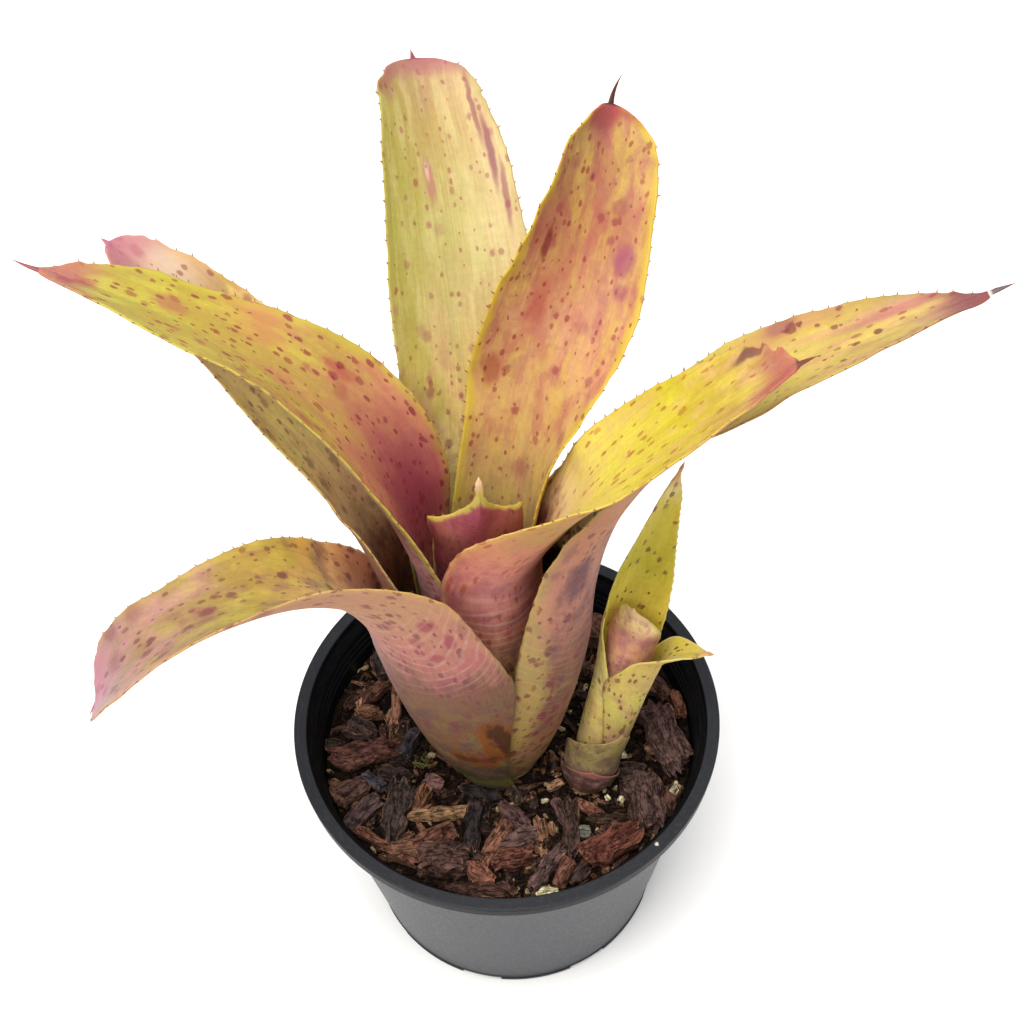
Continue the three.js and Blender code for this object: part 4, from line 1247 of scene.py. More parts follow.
            (8, 10, (0.1, 0.15, 0.15), 0x9A4446, 0.6, 0.32, 7.1, 0.5)),
        patches=each(Patch, (-8, 128, (14, 32), 0x8A2A4C, 0.8, 0.8),
            (-5, 229, (4.6, 5.5), 0xAA6450, 0.65, 0.4, UPPER, 1.2),
            (-13, 203, (6, 10), 0xB87050, 0.4, 0.7, UPPER, 1.4),
            (-14.6, 175, (3, 6), 0xA84A48, 0.65, 0.4, UPPER, 1.2)),
        tip=0xA84E60, tip_mm=16, tip_strength=0.7, spike=0x8A4850, margin=0xB8AC40, margin_mm=2.8,
        margin_strength=0.7, seed=15.8)),
    Leaf("leaf_back_right", "leaf_blade", VASE, LeafShape(
        azimuth=54, layer=6.5, bulge=0, sheath_top=196, blade=143, pitch=(74, 65, 55, 51, 46),
        yaw=(-7, -1, 7, 19), roll=(1, -3, 31, 40), cup=(60, 57, 47, 50, 45),
        half_width=(9, 16.5, 18.5, 19.5, 21, 23, 24, 20, 17), shift=(0, 0, -0.05, -0.07, -0.05, 0, 0, 0, 0),
        hold=(0.05, 0.45), tip=(22, 2.2, 0.55), spike=9, wave=0.8, ragged=0.8,
        hook=(-0.15, -0.35)), LeafFinish(
        "leaf cuticle, orange and red", upper=((-1, 0x504530), (-0.05, 0x7C6A48), (0.12, 0xAE8E5C),
            (0.28, 0xCCA668), (0.5, 0xCA966E), (0.75, 0xB07650), (0.9, 0xB48656), (1, 0xBC8C6C)),
        under=((-1, 0x6A5A38), (-0.4, 0x7C5A48), (0.0, 0x906858), (0.5, 0xC0986A), (1, 0xB05850)),
        clouds=each(Cloud, (0xB06058, (8, 18), 0.55, 0.5, (0.05, 1.3), UPPER),
            (0xD0B458, (7, 24), 0.55, 0.45, (-0.1, 1.3), UPPER, 2.9),
            (0xA0525C, (6, 9), 0.4, 0.35, (0.2, 1.3), UPPER, 5.9),
            # The purple-grey cloud on the under face, low on the sheath, is painted shade.
            (0x5A4248, (9, 10), 0.5, 0.5, (-1, 0.2), UNDER, 1.7)),
        spots=each(Spots, (2.0, 3.2, (0.2, 0.14, 0.26), 0x8A1E2C, 0.75),
            (5, 6, (0.2, 0.12, 0.3), 0x902A40, 0.7, 0.26, 2.7, 0.45),
            (9, 11, (0.15, 0.2, 0.3), 0x8E3A48, 0.6, 0.3, 6.7, 0.5)),
        patches=each(Patch, (11.9, 200, (1.5, 6), 0x7A2424, 0.85, 0.4, UPPER, 1.2),
            (16, 154, (3.5, 5.5), 0x9A3A38, 0.65, 0.5, UPPER, 1.2),
            (-14.4, 198, (3.4, 4.4), 0x94405E, 0.75, 0.45, UPPER, 1.0),
            (-15.6, 189, (2.4, 2.2), 0x94405E, 0.6, 0.45), (8, 180, (3, 9), 0xA84844, 0.5, 0.6, UPPER, 1.2),
            (3, 238, (6, 6), 0x9E3848, 0.55, 0.6, UPPER, 1.4)),
        tip=0xA8484C, tip_mm=5, tip_strength=0.7, spike=0x2E1812, margin=0xC8B03C, margin_mm=2.8,
        margin_strength=0.8, seed=19.9)),
    Leaf("leaf_centre", "young_leaf", VASE, LeafShape(
        azimuth=281, layer=7.6, bulge=0, sheath_top=203, blade=58, pitch=(91, 89, 86, 82, 79),
        yaw=(-7, -4, -2, -1), roll=(-4, 0, -1, 0), cup=(70, 69, 69, 70, 70),
        half_width=(8, 12, 14, 15, 16, 18, 20, 20, 20), hold=(0, 1), tip=(32, 1, 2.2), spike=4), LeafFinish(
        "young leaf cuticle, magenta",
        upper=((-1, 0x5A2A38), (0.2, 0x8A4A58), (0.7, 0xA86A5A), (1, 0xC0A048)),
        under=((-1, 0x5C2028), (0.1, 0x5A1C20), (0.3, 0x84423C), (0.5, 0xA25C54), (0.72, 0xB4526A),
            (1, 0xD8A8A0)),
        clouds=each(Cloud, (0x9A3050, (9, 14), 0.5, 0.5), (0x6A3434, (5, 7), 0.4, 0.5, (-1, 1), BOTH, 3.3)),
        spots=each(Spots, (2.4, 3.4, (0.2, 0.2, 0.2), 0x6A2038, 0.6)), tip=0xE0B48C, tip_mm=5,
        spike=0xECC8A4, margin=0xC4B450, margin_mm=1.9, margin_strength=0.9, arcs=0.1, seed=23.3)),
)
PUP_LEAVES = (
    Leaf("pup_bract_lower", "pup_bract", PUP_FOOT, LeafShape(
        azimuth=262, layer=0, bulge=-0.8, sheath_top=8.5, blade=4, pitch=(80, 84), yaw=(0, 0), roll=(0, 0),
        cup=(90, 90), half_width=(17, 19, 20, 18, 14), shift=(0.0, 0.1), hold=(1, 2), turn=(1, 2),
        tip=(10, 1.5, 0.8), spike=0.8, smooth=True, wave=0, ragged=0.5), LeafFinish(
        "dry bract", upper=((-1, 0x7A5448), (1, 0x8A6450)),
        under=((-1, 0x523428), (0, 0x52362A), (1, 0x5E4232)),
        clouds=each(Cloud, (0x4E3430, (4, 5), 0.55, 0.5), (0xB08480, (5, 4), 0.5, 0.4, (-1, 1), BOTH, 2.7)),
        spots=each(Spots, (1.6, 2, (0.4, 0.4, 0.4), 0x4A2826, 0.6)), margin=0x9A7A58, margin_mm=0.8,
        tip=0x9A6058, tip_mm=3, spike=0x9A6A58, arcs=0.1, roughness=0.55,
        seed=2.2), columns=31, fine_end=3.0),
    Leaf("pup_bract_upper", "pup_bract", PUP_FOOT, LeafShape(
        azimuth=300, layer=1, bulge=-0.9, sheath_top=25, blade=4, pitch=(86, 90), yaw=(0, 0), roll=(0, 0),
        cup=(80, 80), half_width=(14, 18, 20, 18, 13), shift=(0.0, -0.15), hold=(1, 2), turn=(1, 2),
        tip=(13, 1.4, 0.9), spike=0.8, smooth=True, wave=0, ragged=0.5), LeafFinish(
        "dry bract, rose", upper=((-1, 0x8A6458), (1, 0xA07A6A)),
        under=((-1, 0x644A3E), (-0.6, 0x7C6250), (-0.3, 0x8C7A4A), (0, 0xA49450), (1, 0xA89C50)),
        clouds=each(Cloud, (0x6E4C50, (5, 6), 0.6, 0.55), (0xB0A058, (5, 5), 0.5, 0.4, (-1, 1), BOTH, 2.7)),
        spots=each(Spots, (1.8, 2.2, (0.4, 0.4, 0.4), 0x5A302E, 0.6)), margin=0xA8985C, margin_mm=0.8,
        tip=0xA88A58, tip_mm=3, spike=0xA8885C, arcs=0.1, roughness=0.5,
        seed=5.2), columns=31, fine_end=3.0),
    Leaf("pup_leaf_front", "pup_leaf", PUP, LeafShape(
        azimuth=328, layer=2, bulge=1, sheath_top=61, blade=20, pitch=(82, 60, 36, 20, 6), yaw=(-3, 12, 23),
        roll=(0, 0, 0), cup=(60, 46, 39), half_width=(11, 13, 14, 16.5, 17.3, 17.5, 13, 8, 5),
        shift=(0.2, 0.28, 0.33, 0.25, 0.11, -0.08, -0.15, -0.1, 0), hold=(0.05, 0.6), turn=(-0.2, 0.15),
        tip=(12, 1.6, 0.8), spike=1.6, wave=0.2), LeafFinish(
        "young leaf cuticle, lime", upper=((-1, 0x8A7C38), (0.4, 0xDCCA54), (1, 0xD8C260)),
        under=((-1, 0x5C4232), (-0.6, 0x765644), (-0.45, 0xB49E58), (-0.25, 0xCEBC60), (0.05, 0xCCB05A),
            (1, 0xDCB268)),
        clouds=each(Cloud, (0xB87C6C, (6, 10), 0.55, 0.5, (-1, 0.1), UNDER),
            (0xCCC450, (5, 12), 0.4, 0.4, (-1, 1), BOTH, 3.9)),
        spots=each(Spots, (1.9, 3.4, (0.5, 0.3, 0.2), 0x6E2E2C, 0.85),
            (3.4, 5, (0.5, 0.3, 0.1), 0x6A2628, 0.85, 0.26, 3.8)),
        margin=0xDCCC80, margin_mm=1.0, tip=0xD8A878, tip_mm=3, spike=0xC49A6A, arcs=0.06, scurf=0.15,
        vein_gap=0.6, seed=3.7), columns=37, fine_end=6.0),
    Leaf("pup_leaf_tall", "pup_leaf", PUP, LeafShape(
        azimuth=122, layer=3, bulge=0, sheath_top=51, blade=86, pitch=(90, 93, 93, 95, 97), yaw=(-9, -5, 2),
        roll=(-9, -5, 2), cup=(58, 39, 30), half_width=(11, 15, 17, 17, 16, 13.5, 10, 6, 3),
        shift=(0.2, 0.22, 0.15, 0.03, 0, 0, 0, 0, 0), hold=(0.12, 0.6), turn=(-0.2, 0.2), tip=(14, 1.6, 0.8),
        spike=3, wave=0.25), LeafFinish(
        "young leaf cuticle, spotted lime", upper=((-1, 0xB0A840), (0.1, 0xF0E058), (0.32, 0xF0DC60),
            (0.5, 0xB8AC20), (0.8, 0xCAB61E), (1, 0xECD8A8)),
        under=((-1, 0xB08860), (-0.5, 0xC4AE6C), (-0.3, 0xECD070), (-0.1, 0xFCE890), (1, 0xFCE8B0)),
        clouds=each(Cloud, (0xC8C438, (6, 16), 0.25, 0.45),
            (0xB8806C, (5, 9), 0.5, 0.45, (-1, 0.2), BOTH, 3.1)),
        spots=each(Spots, (3.0, 4.2, (0.5, 0.35, 0.1), 0x6E2E2A, 0.85, 0.24),
            (5, 7, (0.4, 0.25, 0.1), 0x7A3A36, 0.7, 0.2, 4.6, 0.4)),
        margin=0xC4B450, margin_mm=0.8, tip=0xC49458, tip_mm=8, spike=0xB88A58, arcs=0.05, scurf=0.12,
        vein_gap=0.7, seed=6.6), columns=33, fine_end=8.0),
    Leaf("pup_leaf_inner", "young_leaf", PUP, LeafShape(
        azimuth=228, layer=4, bulge=-1.5, sheath_top=57, blade=26, pitch=(84, 85, 93, 94), yaw=(2, 5, -7),
        roll=(0, 0), cup=(75, 75), half_width=(5, 7, 9, 10, 11, 12, 12.2, 10.5),
        shift=(0, 0.05, 0.1, 0.17, 0.2, 0.22, 0.15, 0), hold=(0.4, 1.3), turn=(-0.2, 0.4),
        tip=(9, 2.0, 0.55), spike=0.8, smooth=True, wave=0.1, ragged=0.4), LeafFinish(
        "young leaf cuticle, rose", upper=((-1, 0x8A6A4A), (1, 0xB09060)),
        under=((-1, 0xC89670), (0, 0xF8C090), (0.3, 0xF0B088), (0.6, 0xCC9474), (0.85, 0xF0D894),
            (1, 0xF4E8B0)),
        clouds=each(Cloud, (0xB0607A, (6, 9), 0.65, 0.6), (0xC4A060, (5, 8), 0.4, 0.35, (-1, 1), BOTH, 2.9)),
        spots=each(Spots, (1.6, 2.2, (0.3, 0.3, 0.3), 0x7A3A48, 0.5)), margin=0xC8BC60, margin_mm=1.8,
        margin_strength=0.8, tip=0xDCC090, tip_mm=2, spike=0xDCC090, arcs=0.12, scurf=0.4, vein_gap=0.6,
        seed=8.1), columns=29, fine_end=6.0),
)


# --- pot
@dataclass(frozen=True)
class MouldedPolypropylene:
    """Black injection-moulded polypropylene: satin, with a painted sheen of slate grey on the wall, and fine
    scuffs.
    """

    base: int = 0x0C0D10
    # Painted sheen: this slate grey is laid on the outer wall, and more weakly on the rim's top, in place of
    # the satin reflection.
    rubbed: int = 0x3A3C40
    dust: int = 0x5C5E62
    chalk: int = 0xD8D8D4
    roughness: float = 0.36
    fleck: Triple = (0.0488, -0.0532, 0.101)

    def material(self) -> Material:
        """Builds the pot's finish from its own wall coordinates.

        Returns:
            The material.
        """
        material, add = new_material("moulded polypropylene, black")
        # Scuffs run round the wall, some 20 mm long and a millimetre high, over specks of dust of 1 mm.
        wall = add("Attribute", output="Vector", attribute_name="wall")
        drawn = add("VectorMath", (wall, (0.045, 1.1, 1)), **TIMES)
        scuffed = add("TexNoise", {"Vector": drawn, "Scale": 1.0, "Detail": 6.0, "Roughness": 0.7})
        place = add("TexCoord", output="Object")
        specks = add("TexNoise", {"Vector": place, "Scale": 900.0, "Detail": 4.0, "Roughness": 0.75})
        worn = add("Attribute", output="Fac", attribute_name="worn")
        marked = add("Math", (add("MapRange", (scuffed, 0.52, 0.8, 0.0, 0.4)),
                              add("MapRange", (specks, 0.6, 0.78, 0.0, 0.35))), operation="MAXIMUM")
        dusty = add("Math", (marked, add("MapRange", (worn, 0.0, 1.0, 0.3))), **TIMES)
        # One white fleck on the rim, a millimetre across.
        away = add("VectorMath", (place, self.fleck), "Value", operation="DISTANCE")
        ragged = add("Math", (specks, 0.0016, away), **TIMES_PLUS)
        fleck = add("MapRange", (ragged, 0.0016, 0.0011, 0.0, 0.8))
        # The rubbed grey is a painted sheen on the outer wall and the rim's top. The same share also
        # thickens the dust.
        colour = layered(add, self.base, (worn, self.rubbed), (dusty, self.dust), (fleck, self.chalk))
        rough = add("MapRange", (scuffed, 0.3, 0.7, self.roughness - 0.08, self.roughness + 0.14))
        # The mould's grain is finer than 0.1 mm and is drawn at 0.4 mm, or it would not show.
        grain = add("TexNoise", {"Vector": place, "Scale": 2600.0, "Detail": 2.0})
        height = add("Math", (scuffed, 0.6, grain), **TIMES_PLUS)
        normal = add("Bump", {"Height": height, "Strength": 0.25, "Distance": 0.0002})
        surface(add, Base_Color=colour, Roughness=rough, Normal=normal, IOR=1.49,
                Specular_IOR_Level=0.14, Specular_Tint=srgb(0xE6EAF2))
        return material


@dataclass
class Pot:
    """Squat nursery pot: flat rolled rim, outer band, tapered wall, foot ring and drain notches."""

    rim_radius: float = 75.0
    height: float = 101.0
    rim_inner: float = 70.5
    band_height: float = 5.5
    band_radius: float = 74.4
    wall_top: float = 70.0
    base_radius: float = 52.5
    wall: float = 1.6
    floor: float = 2.0
    foot: float = 3.0
    step: float = 0.5
    notches: int = 8
    notch_width: float = 15.0
    notch_height: float = 3.2
    notch_start: float = -61.0
    mouth_rings: int = 4
    sides: int = 288
    finish: MouldedPolypropylene = MouldedPolypropylene()

    @property
    def band(self) -> float:
        """Height of the band's underside."""
        return self.height - self.band_height

    def wall_radius(self, z: float) -> float:
        """Outer radius of the tapering wall at a height."""
        return self.base_radius + (self.wall_top - self.base_radius) * z / self.band

    def profile(self, notched: bool) -> list[Pair]:
        """Section of the pot from the middle of its underside round to the middle of its floor.

        Args:
            notched: True where a drain notch cuts the foot.

        Returns:
            Radius and height of each point.
        """
        top, band, base, ledge = self.height, self.band, self.base_radius, self.wall_radius(self.foot)
        rim, lip_inner, edge = self.rim_radius, self.rim_inner, self.band_radius
        foot = [(base - 1.2, 0), (base - 0.2, 0.2), (base, 0.6), (ledge, self.foot - 0.3),
                (ledge - 0.05, self.foot)]
        if notched:
            inner, high = base - 1.0, self.notch_height
            foot = [(inner, 0), (inner, high - 0.3), (inner + 0.3, high), (ledge - 0.5, high),
                    (ledge - 0.05, high)]
        step_back = self.wall_radius(self.foot + 0.5) - self.step
        outer = [(step_back, self.foot + 0.4), (step_back + 0.03, self.foot + 0.65)]
        for share in (0.15, 0.3, 0.45, 0.6, 0.75, 0.9):
            z = self.foot + 0.6 + share * (band - self.foot - 0.6)
            outer.append((self.wall_radius(z) - self.step, z))
        under = self.wall_radius(band)
        outer += [(under - 0.6, band - 1.0), (under - 0.2, band - 0.25), (under + 0.6, band)]
        lip = [(edge - 0.25, band), (edge, band + 0.25), (edge, band + 0.4), (edge, top - 2.6),
               (edge, top - 2.45), (edge - 0.15, top - 2.35), (edge - 1.3, top - 2.3),
               (edge - 1.3, top - 1.3), (rim - 0.3, top - 1.2), (rim, top - 1.0), (rim, top - 0.4),
               (rim - 0.1, top - 0.12), (rim - 0.35, top), (rim - 0.5, top), (lip_inner + 0.5, top),
               (lip_inner + 0.3, top), (lip_inner, top - 0.35)]
        inner = [(lip_inner - 0.1, top - 2.4), (lip_inner - 0.4, top - 3.4),
                 (under - self.wall - self.step, top - 5.2)]
        for k in range(self.mouth_rings):
            z = top - 7.2 - 2.6 * k
            r = self.wall_radius(z) - self.wall - self.step
            inner += [(r + 0.12, z + 0.5), (r, z), (r, z - 1.2), (r + 0.12, z - 1.6)]
        inner += [(self.wall_radius(z) - self.wall - self.step, z) for z in (80, 60, 40, 20)]
        low = self.wall_radius(self.floor) - self.wall
        inner += [(low - 0.7, self.floor + 0.6), (low - 1.4, self.floor)]
        return foot + outer + lip + [(min(r, lip_inner - 0.05), z) for r, z in inner]

    @property
    def wear(self) -> list[float]:
        """How much painted sheen and dust each point of the section takes: the outer wall most, the rim's
        top a little.

        Returns:
            A share from 0 to 1 for each point.
        """
        rows = self.profile(False)
        outer = [k for k, (r, z) in enumerate(rows) if self.foot + 0.3 < z < self.band - 1.1][:8]
        top = [k for k, (r, z) in enumerate(rows) if z > self.height - 0.5 and r > self.rim_inner + 0.1]
        return [1.0 if k in outer else 0.4 if k in top else 0.0 for k in range(len(rows))]

    def columns(self) -> list[tuple[float, bool]]:
        """Lays out the pot's columns, doubled at each notch's sides.

        Returns:
            Each column's azimuth in degrees, and whether it is notched.
        """
        half = math.degrees(0.5 * self.notch_width / self.base_radius)
        middles = [self.notch_start + 360 / self.notches * k for k in range(self.notches)]
        marks = [(360 / self.sides * k, any(abs((360 / self.sides * k - m + 180) % 360 - 180) < half
                                            for m in middles)) for k in range(self.sides)]
        marks += [((middle + sign * (half + gap)) % 360, gap < 0)
                  for middle in middles for sign in (-1, 1) for gap in (0.03, -0.03)]
        return sorted(marks, key=lambda mark: mark[0])

    def build(self) -> None:
        """Builds the pot and hands it to the frame."""
        columns = self.columns()
        rows = len(self.profile(False))
        points, wall, worn = [(0, 0, 0), (0, 0, self.floor)], [(0, 0, 0), (0, 0, 0)], [0.0, 0.0]
        for azimuth, notched in columns:
            x, y = math.cos(math.radians(azimuth)), math.sin(math.radians(azimuth))
            section, run = self.profile(notched), 0.0
            worn += self.wear
            for before, (r, z) in zip([section[0], *section], section):
                run += math.hypot(r - before[0], z - before[1])
                points.append((r * x, r * y, z))
                wall.append((60 * y, run, 60 * x))
        faces = []
        for c in range(len(columns)):
            here, there = 2 + rows * c, 2 + rows * ((c + 1) % len(columns))
            faces += [(here + k, there + k, there + k + 1, here + k + 1) for k in range(rows - 1)]
            faces += [(0, there, here), (1, here + rows - 1, there + rows - 1)]
        made = mesh_object("nursery_pot", np.array(points, float), faces, self.finish.material(),
                           wall=np.array(wall), worn=np.array(worn))
        made.data.set_sharp_from_angle(angle=math.radians(50))
        dress(made, "pot_plastic", "pot")


# --- bark mix
@dataclass(frozen=True)
class Bark:
    """Composted pine bark: layered, fibrous and dull, with painted shade in its cracks, each chip its own
    brown.
    """

    roughness: float = 0.78
    fibre: float = 0.6
    dull: int = 0x4A3222
    pale: int = 0x8A6448
    rubbed: int = 0xA87C60

    @cache
    def material(self) -> Material:
        """Builds the bark once, from each chip's own tone and grain direction.

        Returns:
            The material.
        """
        material, add = new_material("composted pine bark")
        tone = add("Attribute", output="Color", attribute_name="tone")
        grain = add("Attribute", output="Vector", attribute_name="grain")
        # Fibres are 0.6 mm thick and 7 mm long, blotches 3 mm wide, and seams lie about 2 mm apart.
        drawn, seams = (add("VectorMath", (grain, scale), **TIMES) for scale in (
            (0.14, 1 / self.fibre, 1 / self.fibre), (0.1, 0.55, 0.55)))
        fibres, blotch, seam = (
            add("TexNoise", {"Vector": vector, "Scale": scale, "Detail": detail, "Roughness": roughness})
            for vector, scale, detail, roughness in (
                (drawn, 1.0, 6.0, 0.7), (grain, 0.32, 5.0, 0.65), (seams, 1.0, 5.0, 0.6)))
        value = add("MapRange", (fibres, 0.34, 0.68, 0.75, 1.35))
        shade = add("MapRange", (blotch, 0.38, 0.62, 0.5, 1.45))
        gap = add("Math", (add("Math", (seam, 0.5), **MINUS),), operation="ABSOLUTE")
        # Painted shade: the narrow sunken cracks along the seams are darkened to 0.15 of their value.
        crack_shade = add("MapRange", (gap, 0.004, 0.03, 0.15, 1.0))
        both = add("Math", (add("Math", (value, shade), **TIMES), crack_shade), **TIMES)
        coloured = add("HueSaturation", {"Saturation": 0.86, "Value": both,
                                         "Color": layered(add, tone, (0.3, self.dull))})
        pale = add("MapRange", (fibres, 0.64, 0.78, 0.0, 0.4))
        wear = add("Attribute", output="Fac", attribute_name="wear")
        rubbed = add("MapRange", (add("Math", (wear, fibres), **TIMES), 0.42, 0.6, 0.0, 0.7))
        colour = layered(add, coloured, (pale, self.pale), (rubbed, self.rubbed))
        height = add("Math", (blotch, 1.5, add("Math", (crack_shade, 0.6, fibres), **TIMES_PLUS)), **TIMES_PLUS)
        normal = add("Bump", {"Height": height, "Strength": 0.9, "Distance": 0.001})
        rough = add("MapRange", (blotch, 0.3, 0.7, self.roughness - 0.18, self.roughness + 0.15))
        surface(add, Base_Color=colour, Roughness=rough, Normal=normal, IOR=1.5,
                Specular_IOR_Level=0.08)
        return material


# The chips that lie on top: x, y, length, width, thickness, yaw and each chip's own brown.
TOP_CHIPS = (
    (-50, -2, 25, 10, 6, 6, 0x6B3D33), (-52, 8, 10, 8, 7, -33, 0x4C3B38), (-53, 17, 9, 3, 3, 85, 0xC08A60),
    (-40, 15, 22, 4, 5, 86, 0x9A6045), (-35, 1, 14, 5, 6, 64, 0x3A3A44), (-56, -18, 12, 10, 6, 31, 0x5F4038),
    (-48, -14, 9, 6, 5, -27, 0x4B4A58), (-52, -27, 16, 7, 6, 51, 0x5A4547),
    (-40, -28, 23, 10, 8, 84, 0x453A38), (-25, -28, 22, 5, 4, 1, 0xA57848),
    (-13, -35, 21, 6, 7, -97, 0x22242A), (-27, -39, 14, 11, 7, 29, 0x6E3A2A),
    (-24, -47, 17, 13, 9, -3, 0x5A3D37), (-44, -40, 25, 4, 4, -35, 0x7A4A35),
    (-6, -41, 19, 6, 6, 60, 0x8A5438), (1, -31, 16, 6, 5, -46, 0x5C4040),
    (-12, -52, 10, 6, 6, -38, 0x96563C), (-11, -59, 25, 6, 6, -7, 0x4A2C22),
    (-27, -16, 7, 6, 6, -19, 0x7A5350), (-31, -22, 9, 5, 5, 71, 0x7C4A24), (2, -40, 13, 8, 6, 11, 0x5F4542),
    (0, -47, 14, 8, 7, 9, 0x6B3626), (17, -29, 9, 4, 4, -74, 0x5A4040), (21, -37, 22, 6, 6, -92, 0x4A3630),
    (11, -52, 20, 6, 5, 54, 0x5D4546), (17, -54, 11, 5, 6, 60, 0x6F3F30), (34, -44, 22, 11, 9, 27, 0x6A2F20),
    (47, -27, 21, 14, 8, -87, 0x5A403E), (56, -3, 27, 13, 8, -74, 0x5F4341),
    (27, -29, 11, 5, 4, -33, 0x96553A), (35, -34, 15, 4, 4, 6, 0x3A2C20), (62, 12, 11, 4, 5, -80, 0x7A452C),
    (-10, -21, 15, 6, 5, -21, 0x22242A), (-48, 23, 13, 5, 5, 38, 0x6A4030),
    (55, 20, 12, 7, 6, -50, 0x5C3C32), (-30, 48, 18, 8, 6, 20, 0x6E4636), (6, 56, 20, 9, 7, -15, 0x5A3E36),
    (36, 44, 19, 10, 7, -50, 0x70442E), (-10, 36, 16, 8, 6, 70, 0x4C3630), (24, 30, 14, 7, 5, 10, 0x5E4038),
)
BROWNS = (0x3A2620, 0x4A2E26, 0x5C3A2E, 0x6A4030, 0x2A2020, 0x38302E, 0x7A4E34, 0x452C24, 0x8A5C3C, 0x302828)


@dataclass
class ChipPile:
    """Many chips in one mesh, each with its own tone and grain."""

    name: str
    parts: list[tuple[Array, Array, Array, Array]] = field(default_factory=list)
    faces: Faces = field(default_factory=list)
    count: int = 0

    def add(self, chip: tuple[Array, Array, Array, list], tone: int) -> None:
        """Adds one chip.

        Args:
            chip: Its points, grain coordinates, wear and faces.
            tone: Its colour.
        """
        *places, faces = chip
        self.parts.append((*places, np.tile(srgb(tone)[:3], (len(places[0]), 1))))
        self.faces += [tuple(self.count + k for k in face) for face in faces]
        self.count += len(places[0])

    def build(self) -> None:
        """Makes the pile's mesh and hands it to the frame."""
        points, grain, wear, tone = (np.concatenate(part) for part in zip(*self.parts))
        made = mesh_object(self.name, points, self.faces, Bark().material(), tone=tone, grain=grain,
                           wear=wear)
        made.data.set_sharp_from_angle(angle=math.radians(38))
        dress(made, "bark_mix")


def box_grid(counts: tuple[int, int, int]) -> tuple[Array, Faces]:
    """Surface of a cube from -1 to 1, cut in squares.

    Args:
        counts: Squares along X, Y and Z.

    Returns:
        Its points and outward faces.
    """
    index: dict[tuple[int, ...], int] = {}
    faces = []
    for fixed in (2, 1, 0):
        u, v = (axis for axis in range(3) if axis != fixed)
        for wall in (0, counts[fixed]):
            turn = -1 if (wall == 0) == (fixed != 1) else 1
            for a in range(counts[u]):
                for b in range(counts[v]):
                    corners = []
                    for step_u, step_v in ((0, 0), (1, 0), (1, 1), (0, 1)):
                        place = [wall] * 3
                        place[u], place[v] = a + step_u, b + step_v
                        corners.append(index.setdefault(tuple(place), len(index)))
                    faces.append(tuple(corners[::turn]))
    return 2 * np.array(list(index), float) / counts - 1, faces


